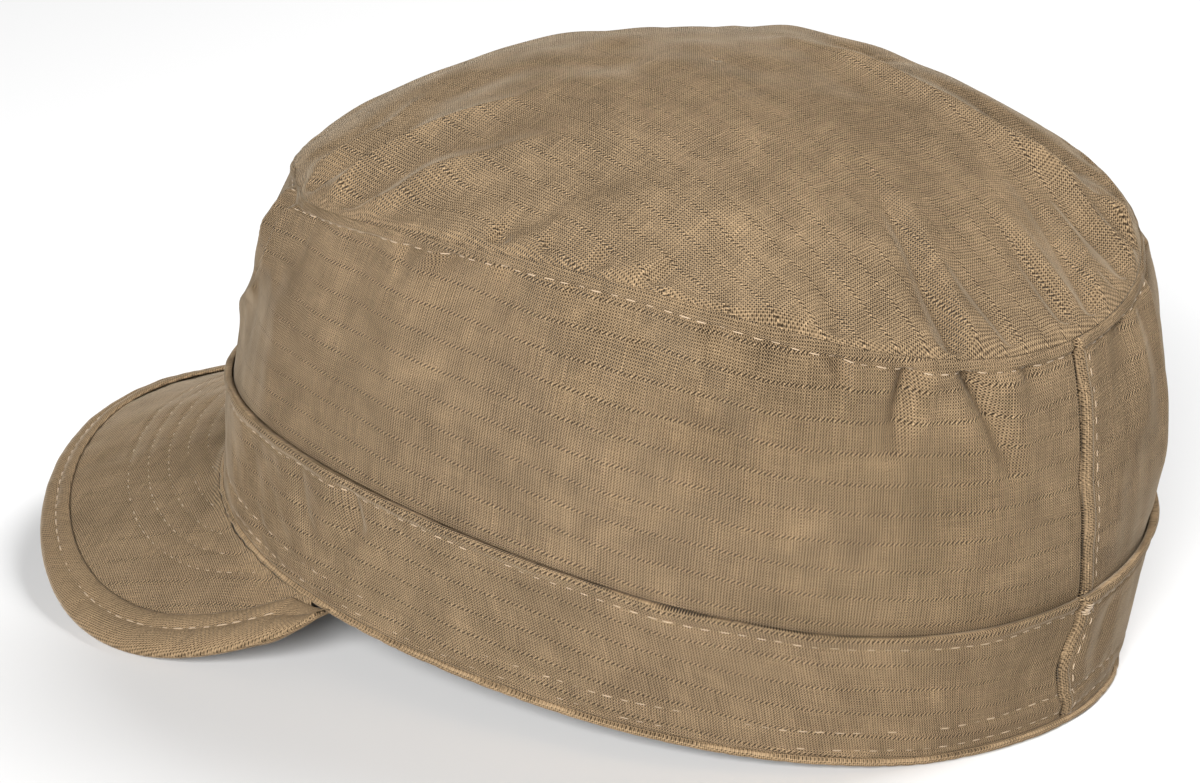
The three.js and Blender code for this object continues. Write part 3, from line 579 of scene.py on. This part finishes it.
def top_face(angle, out):
    """Outer face of the top, out from 0 at its middle to 1 at its seam."""
    edge = ring(SEAM, angle, pinched(angle))
    middle = (SEAM["side"] + (SEAM["front"] + SEAM["rear"]) / 2) / 2
    x, y = edge[..., 0] * out, SEAM["shift"] + (edge[..., 1] - SEAM["shift"]) * out
    z = middle + (edge[..., 2] - middle) * out * out + TOP_LIFT + TOP_EDGE
    lean = DOME_LEAN * (y - SEAM["shift"]) / SEAM["length"] * out * (1 - out * out)
    z = z + DOME_RISE * (1 - out**DOME_POWER) - lean
    from_seam = (1 - out) * np.hypot(edge[..., 0], edge[..., 1] - SEAM["shift"])
    calm = np.clip(from_seam / TOP_CALM, 0, 1)
    calm = calm * calm * (3 - 2 * calm)
    folds = folded(placed(TOP_FOLDS, SEAM["width"], SEAM["length"], SEAM["shift"]), x, y)
    waves = 0.42 * rippled(x, y, 30, 5) + 0.13 * rippled(x, y, 11, 6)
    pulls = 0.85 * puckered(np.degrees(angle) * ROUND, from_seam, 360 * ROUND, 9.0, 7.0, 21)
    tuck = -(TOP_EDGE + 0.1) * np.exp(-((from_seam / 0.9) ** 2))
    z = z + (folds + waves + pulls) * calm + tuck
    return np.stack([x, y, z], -1)


angles = np.radians(spread((0,), (18, 18), (62, 104), (88, 28), (216, 300), (360, 130)))
rows_out = np.concatenate([np.linspace(0.004, 0.9, 54)[:-1], np.linspace(0.9, 0.972, 10)[:-1],
                           np.linspace(0.972, 1, 10)])
A, O = np.meshgrid(angles, rows_out)
top_outer = top_face(A, O)
top_normal = square_to(top_outer)
top_normal *= np.sign(top_normal[..., 2:3])
top_inner = top_outer - top_normal * TOP_CLOTH
edge_share = np.clip((O - 0.95) / 0.05, 0, 1)[..., None]
under = ring(SEAM, A, -(WALL_CLOTH + 0.6) * np.ones_like(A), 0.3)
top_inner = top_inner * (1 - edge_share) + under * edge_share
top_pattern = np.stack([top_outer[..., 0], top_outer[..., 1]], -1)
top_cloth = cloth("top ripstop", CLOTH_DARK, CLOTH_LIGHT, turn=-84.0, relief=0.00038)
crown_dome = shell("crown_dome", top_outer, top_inner, top_pattern, closed=True)
joined(crown_dome, top_cloth, "top_cloth", "crown_top")

# Outer band
# A strip sewn round the foot, the same cloth doubled. Its folded upper edge stands free
# of the wall, with a stitch row below the fold and two more close above the foot.
BAND_CLOTH = 1.4
FOLD_HEIGHT = 2.4
ROLL_ROW, HEM_ROW = 1.6, 6.2

# Width and height in millimetres and softness, then angle and share of the height from place to place
BAND_FOLDS = [
    (2.2, -1.4, 1.6, (78.3, 0.9), (78.7, 0.75), (75.5, 0.53), (71.7, 0.34)),
    (3.0, 0.8, 2, (81.5, 0.8), (80, 0.6), (76, 0.42)), (4.5, 1.0, 2, (74, 0.85), (73, 0.55)),
    (2.6, -0.9, 2, (67.5, 0.85), (68, 0.6), (70, 0.3)), (3.0, -0.7, 2, (86.6, 0.84), (89.3, 0.42)),
    (7.0, -1.1, 2, (177, 0.46), (165, 0.4)), (4.0, -0.9, 2, (187.6, 0.6), (188.2, 0.1)),
    (5.0, -0.6, 2, (57, 0.8), (52, 0.4)), (6.0, 0.6, 2, (210, 0.8), (214, 0.3)),
    (2.4, -1.2, 1.8, (282, 0.9), (284, 0.5), (289, 0.3)), (4.0, 0.8, 2, (278, 0.85), (280, 0.5)),
    (5.0, -0.8, 2, (232, 0.9), (236, 0.4)),
]
BAND_SWAY = [(0.0, -0.6), (0.25, -2.0), (0.43, -2.4), (0.77, 0.0), (0.99, 0.0)]
BAND_ROUND, BAND_RUN = ROUND * FLARE, 34.0
LINING_SHARE = 0.7
BAND_ROW_AT = 3.0


def band_height(angle):
    return ring(BAND, angle)[..., 2] - ring(FOOT, angle)[..., 2] - FOOT_LIFT


def band_face(angle, up):
    """Outer face of the band, up from 0 at the binding to 1 at its folded edge."""
    height = band_height(angle)
    place = swayed(angle, up, BAND_SWAY)
    u, v = np.degrees(angle) * BAND_ROUND, up * height
    from_top = (1 - up) * height
    calm = seam_fade(up, 0.1)
    out = (folded(placed(BAND_FOLDS, BAND_ROUND, BAND_RUN), u, v) + 0.34 * rippled(u, v, 30, 8)
           + 0.1 * rippled(u, v, 10, 9)) * calm
    out += 0.42 * puckered(u, np.abs(v - HEM_ROW), 360 * BAND_ROUND, 7.0, 3.2, 31)
    out += 0.3 * puckered(u, np.clip(from_top - FOLD_HEIGHT, 0, None), 360 * BAND_ROUND, 9.0, 4.0, 33)
    out += 0.55 * np.sin(math.pi * np.clip(from_top / FOLD_HEIGHT, 0, 1)) ** 0.7
    out += 0.25 * (v < HEM_ROW) * np.sin(math.pi * np.clip((v - ROLL_ROW) / (HEM_ROW - ROLL_ROW), 0, 1))
    for row in (ROLL_ROW, HEM_ROW):
        out -= 0.28 * np.exp(-(((v - row) / 0.5) ** 2))
    out -= 0.28 * np.exp(-(((from_top - FOLD_HEIGHT - 0.8) / 0.5) ** 2))
    out += beside_seam(angle, 0.5, 1.6)
    face = foot_face(place, up, 0.0)
    face[..., 2] += 0.35 * rippled(u, 0 * v, 26, 14) * np.clip(up * 2 - 1, 0, 1)
    return face + outward(BAND, place) * out[..., None]


band_rows = np.concatenate([np.linspace(0, 0.24, 14)[:-1], np.linspace(0.24, 0.84, 24)[:-1],
                            np.linspace(0.84, 1, 14)])
across_band = np.radians(spread((-SEAM_STOP,), (-177, 18), (-130, 84), (0, 110), (40, 70), (176, 262),
                                (SEAM_STOP, 30)))
turned_band = np.where(across_band < 0, across_band + 2 * math.pi, across_band)
A, U = np.meshgrid(turned_band, band_rows)
band_outer = band_face(A, U)
band_place = swayed(A, U, BAND_SWAY)
band_relief = band_outer - foot_face(band_place, U, 0.0)
band_inner = foot_face(band_place, U, BAND_CLOTH) + LINING_SHARE * band_relief * (U < 0.97)[..., None]
flat_u = np.meshgrid(np.degrees(across_band) * BAND_ROUND, band_rows)[0]
band_pattern = np.stack([flat_u, BAND_ROW_AT - (1 - U) * band_height(A)], -1)
band_cloth = cloth("band ripstop", CLOTH_DARK, CLOTH_LIGHT)
joined(shell("band_strip", band_outer, band_inner, band_pattern), band_cloth, "ripstop_cloth", "outer_band")

# Binding round the foot
# A narrow bias strip rolled over the lower edges of wall and band and stitched down,
# a little uneven where the needle pulls it in.
BINDING_OUT, BINDING_IN = 0.85, 3.8
BINDING_TOP, BINDING_UNDER = 1.85, 0.0

# Rows or columns so far apart that none lies on a narrow piece
NO_LINES = 900.0


def ring_faces(k):
    """Faces round a row of sections of point numbers."""
    right = np.roll(k, -1, axis=1)
    return np.stack([k[:-1], right[:-1], right[1:], k[1:]], -1).reshape(-1, 4).tolist()


def end_faces(k):
    return [k[0, ::-1].tolist(), k[-1].tolist()]


def tube(name, sections, pattern, capped=False):
    """A closed piece through a row of sections of equally many points."""
    rows, sides = sections.shape[:2]
    k = np.arange(rows * sides).reshape(rows, sides)
    faces = ring_faces(k)
    squares = np.array(faces)
    if capped:
        faces += end_faces(k)
    else:
        faces += ring_faces(k[[-1, 0]])
    points = laid(sections).reshape(-1, 3)
    return facing_out(built(name, points, faces, pattern.reshape(-1, 2)), points, squares)


def binding_section(angle, sides=16):
    """Rounded section of the binding, flat below."""
    turn = np.linspace(0, 2 * math.pi, sides, endpoint=False)
    middle, half = (BINDING_OUT - BINDING_IN) / 2, (BINDING_OUT + BINDING_IN) / 2
    level, tall = (BINDING_TOP + BINDING_UNDER) / 2, (BINDING_TOP - BINDING_UNDER) / 2
    round_off = 3.4
    c, s = np.cos(turn), np.sin(turn)
    size = (np.abs(c) ** round_off + np.abs(s) ** round_off) ** (-1 / round_off)
    out = middle + half * c * size
    lift = level + tall * s * size
    A, O = np.meshgrid(angle, out, indexing="ij")
    L = np.broadcast_to(lift, A.shape)
    u = np.degrees(A) * ROUND * 1.1
    pull = 0.3 * puckered(u, 0 * u, 396 * ROUND, 3.7, 2.0, 41) * (O > middle)
    points = ring(FOOT, A, O + pull, L)
    points[..., 2] += landing(A, points[..., 1])
    return points, np.stack([u, O + L], -1)


binding_angles = np.linspace(0, 2 * math.pi, 640, endpoint=False)
sections, pattern = binding_section(binding_angles)
EDGE_DARK, EDGE_LIGHT = (0.035, 0.023, 0.0125), (0.335, 0.233, 0.134)
edge_cloth = cloth("pressed edge", EDGE_DARK, EDGE_LIGHT, 45.0, 0.00012, NO_LINES, NO_LINES)
joined(tube("foot_binding", sections, pattern), edge_cloth, "edge_cloth", "rim_binding")

# Peak
# A short arched board covered with the same cloth and quilted with six rows of
# stitches that follow its edge.
PEAK_HALF_ANGLE = math.radians(71.5)
PEAK_OFFSET = 0.9
PEAK_REACH, PEAK_FLARE = 53.9, math.radians(46.0)
SIDE_PULL, TIP_PULL = 73.0, 56.3
PEAK_SLOPE, PEAK_DROOP, PEAK_SEAT = 0.27, 5.3, 1.2
PEAK_BOARD = 2.0
HEM_WIDTH, HEM_CLOTH = 9.0, 1.0
HEM_TRIM, TRIM_REACH = 0.36, 0.6
QUILT_FIRST, QUILT_EVERY, QUILT_ROWS = 20.0, 4.6, 6
PEAK_ROUND = 190

corner = ring(FOOT, np.array(PEAK_HALF_ANGLE), PEAK_OFFSET)
root = ring(FOOT, np.array(0.0), PEAK_OFFSET)


def profile(run):
    return root[2] - PEAK_SLOPE * run - PEAK_DROOP * (run / PEAK_REACH) ** 2


ARCH = (profile(root[1] - corner[1]) - corner[2]) / corner[0] ** 2


def peak_outer(side):
    t = 1 - np.abs(side)
    aims = [corner[:2], corner[:2] + SIDE_PULL * np.array([math.cos(PEAK_FLARE), -math.sin(PEAK_FLARE)]),
            np.array([TIP_PULL, root[1] - PEAK_REACH]), np.array([0.0, root[1] - PEAK_REACH])]
    weights = [(1 - t) ** 3, 3 * (1 - t) ** 2 * t, 3 * (1 - t) * t * t, t**3]
    point = sum(w[..., None] * aim for w, aim in zip(weights, aims))
    return point * np.stack([np.sign(side), np.ones_like(side)], -1)


def peak_face(side, out):
    """A point on the peak's middle face, out from 0 at the foot to 1 at its edge."""
    inner = ring(FOOT, side * PEAK_HALF_ANGLE, PEAK_OFFSET)
    plan = inner[..., :2] * (1 - out)[..., None] + peak_outer(side) * out[..., None]

    def sheet(x, y):
        return profile(root[1] - y) - x * x * ARCH

    seat = inner[..., 2] - sheet(inner[..., 0], inner[..., 1])
    z = sheet(plan[..., 0], plan[..., 1]) + seat * (1 - out) ** 2 - PEAK_SEAT * (1 - out)
    return np.concatenate([plan, z[..., None]], -1)


def peak_up(side, out):
    step = 1e-3
    over = peak_face(side + step, out) - peak_face(side - step, out)
    along = peak_face(side, out + step) - peak_face(side, out - step)
    square = np.cross(along, over)
    square /= np.linalg.norm(square, axis=-1, keepdims=True)
    square *= np.sign(square[..., 2:3])
    blend = np.array([0, 0, 1.0]) * (1 - out)[..., None] + square * out[..., None]
    return blend / np.linalg.norm(blend, axis=-1, keepdims=True)


def peak_depth(side):
    """How far the peak's edge lies from the foot, measured square to the edge."""
    step = 1e-3
    along = peak_outer(side + step) - peak_outer(side - step)
    along /= np.linalg.norm(along, axis=-1, keepdims=True)
    ruling = peak_outer(side) - ring(FOOT, side * PEAK_HALF_ANGLE, PEAK_OFFSET)[..., :2]
    return np.abs(ruling[..., 0] * along[..., 1] - ruling[..., 1] * along[..., 0])


def peak_out(side, distance):
    return 1 - distance / peak_depth(side)


def hem_fit(side):
    """The hem is folded narrower round the front, and near the peak's ends it has less room."""
    narrow = 1 - HEM_TRIM * np.exp(-((side / TRIM_REACH) ** 2))
    return narrow * np.minimum(1, 0.94 * peak_depth(side) / HEM_WIDTH)


def peak_top(side, out):
    """The quilted upper face of the peak."""
    distance = (1 - out) * peak_depth(side)
    x, y = np.moveaxis(peak_face(side, out), -1, 0)[:2]
    relief = 0.2 * rippled(x, y, 22, 17)
    for k in range(QUILT_ROWS):
        relief = relief - 0.30 * np.exp(-(((distance - QUILT_FIRST - k * QUILT_EVERY) / 0.55) ** 2))
    from_hem = np.abs(distance - HEM_WIDTH * hem_fit(side))
    relief = relief + 0.3 * puckered(side * PEAK_ROUND, from_hem, 2 * PEAK_ROUND, 6.0, 4.0, 51)
    ruling = peak_outer(side) - ring(FOOT, side * PEAK_HALF_ANGLE)[..., :2]
    from_foot = out * np.hypot(*np.moveaxis(ruling, -1, 0))
    roll = 0.9 * np.exp(-((from_foot / 1.3) ** 2)) * (1 + 0.25 * rippled(side * 90, 0 * side, 4, 53))
    raised = PEAK_BOARD / 2 + relief * np.clip(out / 0.05, 0, 1) + roll
    return peak_face(side, out) + peak_up(side, out) * raised[..., None]


END_SIDE, BOARD_END = 0.995, 0.945
share = np.linspace(-1, 1, 241)
peak_sides = END_SIDE * (share + np.sin(share * math.pi / 2)) / 2
board_sides = peak_sides[np.abs(peak_sides) < BOARD_END]
board_rows = np.concatenate([np.linspace(0, 0.06, 7)[:-1], np.linspace(0.06, 1, 72)])
S, R = np.meshgrid(board_sides, board_rows)
O = R * peak_out(S, HEM_CLOTH + 0.3)
board_top = peak_top(S, O)
board_under = peak_face(S, O) - peak_up(S, O) * PEAK_BOARD / 2
peak_pattern = peak_face(S, O)[..., :2]
# Painted shade: the peak's cloth is the wall's ripstop painted about a seventh darker, to stand in for the
# shade on its face.
PEAK_SHADED_DARK, PEAK_SHADED_LIGHT = (0.037, 0.024, 0.013), (0.35, 0.244, 0.14)
peak_shaded_cloth = cloth("peak ripstop painted darker", PEAK_SHADED_DARK, PEAK_SHADED_LIGHT, turn=77.0, relief=0.00026)
joined(shell("peak_board", board_top, board_under, peak_pattern), peak_shaded_cloth, "ripstop_cloth", "peak")

# Hem of the peak
# A bias strip folded round the peak's edge and stitched through, puffed over the cord
# of raw edges inside, with a dark line where its inner fold lies on the peak.
SLOT_HALF = PEAK_BOARD / 2 + 0.3
HEM_HALF = SLOT_HALF + HEM_CLOTH
HEM_STITCH, STITCH_DIP = 5.4, 0.36

# Distance in from the edge and height off the middle face, from the upper lip round the nose
HEM_SECTION = [
    (HEM_WIDTH, SLOT_HALF + 0.02), (HEM_WIDTH + 0.15, SLOT_HALF + 0.3), (HEM_WIDTH - 0.1, SLOT_HALF + 0.62),
    (HEM_WIDTH - 0.6, HEM_HALF - 0.2), (HEM_WIDTH - 1.4, HEM_HALF), (7.0, HEM_HALF + 0.02),
    (6.2, HEM_HALF - 0.06), (5.7, HEM_HALF - 0.28), (HEM_STITCH, HEM_HALF - STITCH_DIP),
    (5.1, HEM_HALF - 0.28), (4.5, HEM_HALF - 0.02),
    (3.6, HEM_HALF + 0.1), (2.6, HEM_HALF), (1.7, HEM_HALF * 0.9), (0.9, HEM_HALF * 0.7),
    (0.3, HEM_HALF * 0.4),
    (0.0, 0.0), (0.3, -HEM_HALF * 0.4), (0.9, -HEM_HALF * 0.7), (1.7, -HEM_HALF * 0.9), (3.0, -HEM_HALF),
    (HEM_STITCH, -HEM_HALF + 0.3), (HEM_WIDTH - 1.2, -HEM_HALF), (HEM_WIDTH, -HEM_HALF + 0.5),
    (HEM_WIDTH, -SLOT_HALF), (HEM_CLOTH, -SLOT_HALF), (HEM_CLOTH, SLOT_HALF),
]


def hem_point(side, distance, lift):
    out = np.maximum(peak_out(side, distance), 0.04)
    return peak_face(side, out) + peak_up(side, out) * lift[..., None]


hem_share = np.linspace(-1, 1, 361)
hem_sides = END_SIDE * (hem_share + np.sin(hem_share * math.pi / 2)) / 2
S, D = np.meshgrid(hem_sides, [row[0] for row in HEM_SECTION], indexing="ij")
L = np.broadcast_to([row[1] for row in HEM_SECTION], S.shape)
skin = np.abs(L) > SLOT_HALF + 0.1
ending = np.clip((1.0 - np.abs(S)) / 0.07, 0, 1)
hem_u = S * PEAK_ROUND
pull = 0.3 * puckered(hem_u, np.abs(D - HEM_STITCH), 2 * PEAK_ROUND, 4.6, 3.4, 61)
pull = pull + 0.14 * rippled(hem_u, D, 15, 62)
hem_lift = (L + np.sign(L) * skin * pull) * ending ** 0.7 + 2.4 * (1 - ending) ** 1.5
sections = hem_point(S, D * hem_fit(S), hem_lift)
HEM_DARK, HEM_LIGHT = (0.033, 0.0215, 0.0115), (0.3, 0.208, 0.119)
hem_cloth = cloth("hem of the peak", HEM_DARK, HEM_LIGHT, 40.0, 0.00012, NO_LINES, 7.0)
hem = tube("peak_edge_hem", sections, np.stack([hem_u, D], -1), capped=True)
joined(hem, hem_cloth, "edge_cloth", "peak_hem")

# Rear seam
# The wall's right end is folded under and lapped over the left one; the fold stands up
# as a narrow rounded welt. The band's ends are lapped the same way below it.

# Section of the welt: across the seam and above the cloth
WELT_ACROSS = [0.5, 0.66, 0.5, 0.1, -0.5, -1.1, -1.6, -1.9, -0.4]
WELT_ABOVE = [-0.9, -0.2, 0.2, 0.36, 0.36, 0.3, 0.12, -0.4, -0.9]
WELT_SPREAD, WELT_LEAN = 0.85, 0.15
WELT_CUT = 300
REAR_WALL, REAR_BAND = 54.0, 28.0
# Painted shade: the welt is the wall's cloth painted much darker, standing in for the shade along the folded
# rear seam.
FOLD_SHADED_DARK, FOLD_SHADED_LIGHT = (0.03, 0.02, 0.0105), (0.24, 0.166, 0.096)
fold_shaded_cloth = cloth("fold of the rear seam painted in shade", FOLD_SHADED_DARK, FOLD_SHADED_LIGHT, 45.0, 0.00008, NO_LINES, NO_LINES)


def welt(name, face, first, last, run, node):
    """A rounded fold laid on a face along the rear seam."""
    steps = int(run / 0.7)
    reach = SEAM["width"] * REAR_BEND
    across_it, above = np.array(WELT_ACROSS), np.array(WELT_ABOVE)
    up, place = np.meshgrid(np.linspace(first, last, steps), across_it, indexing="ij")
    bumps = 1 + 0.05 * rippled(up * run, 0 * up, 1.7, 72)
    wander = 0.12 * rippled(up * run, 0 * up, 7, 71)
    foot = face(math.pi - WELT_LEAN * place / reach, up)
    sections = foot + np.stack([WELT_SPREAD * place + wander, above * bumps, 0 * up], -1)
    fold = tube(name, sections, np.stack([place + WELT_CUT, up * run], -1), capped=True)
    joined(fold, fold_shaded_cloth, "edge_cloth", node)


welt("rear_welt_wall", wall_face, 0.01, 0.965, REAR_WALL, "back_seam_upper")
welt("rear_welt_band", band_face, 0.02, 0.97, REAR_BAND, "back_seam_lower")

# Stitches
# Pale cotton thread in short straight stitches, each one sunk at its ends: round the
# top seam, the band, the foot and the hem, on the quilting and beside the rear seam.
THREAD, THREAD_FLAT = 0.17, 0.8
CAP_MIDDLE = np.array([0.0, 0.0, 30.0])


def stitched(name, runs, pitch, length, lift=0.05):
    """One mesh of stitches along runs of points and normals, both in millimetres."""
    sides, rings = 6, 5
    turn = np.linspace(0, 2 * math.pi, sides, endpoint=False)
    along = np.linspace(-0.5, 0.5, rings)
    swell = np.sqrt(np.clip(1 - (2 * along * 0.97) ** 4, 0.04, 1))
    sink = -0.9 * (2 * along) ** 4
    points, faces = [], []
    draw = np.random.RandomState(len(name))
    for path, normal in runs:
        run = np.concatenate([[0], np.cumsum(np.linalg.norm(np.diff(path, axis=0), axis=1))])
        for middle in np.arange(pitch * 0.6, run[-1] - pitch * 0.5, pitch):
            middle = middle + draw.uniform(-0.08, 0.08) * pitch
            at = middle + along * length * draw.uniform(0.75, 1.05)
            centre = np.stack([np.interp(at, run, path[:, k]) for k in range(3)], -1)
            up = np.array([np.interp(middle, run, normal[:, k]) for k in range(3)])
            up /= np.linalg.norm(up)
            ahead = centre[-1] - centre[0]
            ahead /= np.linalg.norm(ahead)
            over = np.cross(ahead, up)
            centre = centre + over * draw.uniform(-0.08, 0.08)
            centre = centre + up * (lift + draw.uniform(-0.13, 0.02) + sink * THREAD)[:, None]
            rim = over * np.cos(turn)[:, None] + up * np.sin(turn)[:, None] * THREAD_FLAT
            first = len(points) * sides * rings
            points.append(centre[:, None] + rim[None] * (THREAD * swell)[:, None, None])
            k = first + np.arange(rings * sides).reshape(rings, sides)
            faces += ring_faces(k) + end_faces(k)
    piece = built(name, laid(np.array(points).reshape(-1, 3)), faces)
    return joined(piece, thread, "ripstop_cloth")


def run_on(face, first, second):
    """A run of points on a face with the face's outward normals."""
    path = face(first, second)
    step = 2e-3
    along = face(first + step, second) - face(first - step, second)
    across = face(first, second + step) - face(first, second - step)
    normal = np.cross(along, across)
    normal /= np.linalg.norm(normal, axis=-1, keepdims=True)
    return path, normal * np.sign(((path - CAP_MIDDLE) * normal).sum(-1, keepdims=True))


def thread_material(name, colour):
    """Twisted cotton thread with a soft sheen."""
    material, shader = new_material(name, {"Roughness": 0.6, "Sheen Weight": 0.2})
    tree = material.node_tree
    place = added(tree, "TexCoord")
    twist = added(tree, "TexNoise", {"Scale": 900.0})
    tint = added(tree, "Mix", {"A": (*[c * 0.72 for c in colour], 1), "B": (*colour, 1)})
    tree.links.new(place.outputs["Object"], twist.inputs["Vector"])
    tree.links.new(twist.outputs["Fac"], tint.inputs["Factor"])
    tree.links.new(tint.outputs["Result"], shader.inputs["Base Color"])
    return material


thread = thread_material("cotton thread", (0.39, 0.285, 0.18))
fine = np.radians(np.linspace(-SEAM_STOP, SEAM_STOP, 2400))
fine = np.where(fine < 0, fine + 2 * math.pi, fine)

seam_run = run_on(wall_face, fine, np.full_like(fine, 1 - (RIDGE + 0.3) / WALL_RUN))
stitched("top_seam_stitches", [seam_run], 3.8, 2.9)

fold_run = run_on(band_face, fine, 1 - (FOLD_HEIGHT + 0.8) / band_height(fine))
hem_run = run_on(band_face, fine, HEM_ROW / band_height(fine))
roll_run = run_on(band_face, fine, ROLL_ROW / band_height(fine))
stitched("band_stitches", [fold_run, hem_run, roll_run], 3.7, 2.8)

WELT_STITCH = 2.7
TACK_WIDTH, TACK_EVERY, TACK_ROWS, TACK_TOP, TACK_PROUD = 2.6, 0.42, 7, 0.955, 0.75
reach = SEAM["width"] * REAR_BEND
ups = np.linspace(0.03, 0.95, 300)
beside = np.full_like(ups, math.pi + WELT_STITCH / reach)
stitched("rear_stitches", [run_on(wall_face, beside, ups), run_on(band_face, beside, ups)], 3.2, 2.4)
over_it = math.pi + np.linspace(-0.2, TACK_WIDTH, 12) / reach
tack = []
for k in range(TACK_ROWS):
    path, normal = run_on(band_face, over_it, np.full_like(over_it, TACK_TOP - k * TACK_EVERY / REAR_BAND))
    tack.append((path + normal * TACK_PROUD, normal))
stitched("rear_tack", tack, 2.0, 2.4)

quilt = []
for k in range(QUILT_ROWS):
    depth = QUILT_FIRST + k * QUILT_EVERY
    sides = np.linspace(-0.94, 0.94, 900)
    sides = sides[peak_depth(sides) > depth + 0.6]
    path = peak_top(sides, peak_out(sides, depth))
    quilt.append((path, peak_up(sides, peak_out(sides, depth))))
stitched("peak_quilting", quilt, 3.0, 1.9, lift=0.03)

sides = np.linspace(-0.95, 0.95, 900)
sides = sides[peak_depth(sides) > HEM_STITCH + 0.8]
outs = peak_out(sides, HEM_STITCH * hem_fit(sides))
hem_path = peak_face(sides, outs) + peak_up(sides, outs) * (HEM_HALF - STITCH_DIP)
stitched("hem_stitches", [(hem_path, peak_up(sides, outs))], 3.6, 2.7)

# Studio
# A flat pale floor, a dim white room and two soft lamps: the key on the wearer's left
# and a weaker one overhead. Far off the floor falls dark, which shows in low views.
HALF_FLOOR = 6.0
corners = HALF_FLOOR * np.array([(-1, -1, 0), (1, -1, 0), (1, 1, 0), (-1, 1, 0)])
floor = built("studio_floor", corners, [(0, 1, 2, 3)])
pale = new_material("pale floor", {"Base Color": (0.78, 0.78, 0.78, 1), "Roughness": 0.7})[0]
floor.data.materials.append(pale)

room = bpy.data.worlds.new("white room")
room.use_nodes = True
background = room.node_tree.nodes["Background"]
background.inputs["Color"].default_value = (1, 1, 1, 1)
background.inputs["Strength"].default_value = 0.035
bpy.context.scene.world = room
bpy.context.scene.view_settings.view_transform = "Standard"


def lamp(name, place, aim, size, watts):
    data = bpy.data.lights.new(name, "AREA")
    data.size = size
    data.energy = watts
    light = in_scene(name, data)
    light.location = place
    light.rotation_mode = "QUATERNION"
    light.rotation_quaternion = (Vector(aim) - Vector(place)).to_track_quat("-Z", "Y")


lamp("key", (2.18, 1.02, 1.03), (0, 0, 0.06), 1.1, 139)
lamp("overhead", (-1.05, 0.5, 1.5), (0, 0, 0.08), 1.2, 43)

# Camera
# Low behind the wearer's left shoulder, from about a metre, with a long lens.
PHOTO_WIDTH = 1200
FOCAL_PIXELS = 4349.6
DISTANCE = 934.8
AZIMUTH, ELEVATION, ROLL = math.radians(128.187), math.radians(21.756), math.radians(2.996)
AIM = np.array([16.58, -8.83, 44.99])
level = np.array([math.cos(AZIMUTH), math.sin(AZIMUTH), 0.0])
away = np.array([math.sin(AZIMUTH), -math.cos(AZIMUTH), 0.0])
back = away * math.cos(ELEVATION) + np.array([0.0, 0.0, math.sin(ELEVATION)])
upright = np.cross(back, level)
right = math.cos(ROLL) * level + math.sin(ROLL) * upright
top = -math.sin(ROLL) * level + math.cos(ROLL) * upright
tilt = np.array(Matrix.Rotation(REST_PITCH, 3, "X"))
axes = Matrix([list(tilt @ right), list(tilt @ top), list(tilt @ back)]).transposed()
camera_data = bpy.data.cameras.new("camera")
camera_data.sensor_width = 36.0
camera_data.lens = FOCAL_PIXELS / PHOTO_WIDTH * camera_data.sensor_width
camera = in_scene("camera", camera_data)
camera.matrix_world = Matrix.Translation(laid(AIM + DISTANCE * back)) @ axes.to_4x4()
bpy.context.scene.camera = camera

bpy.context.view_layer.update()
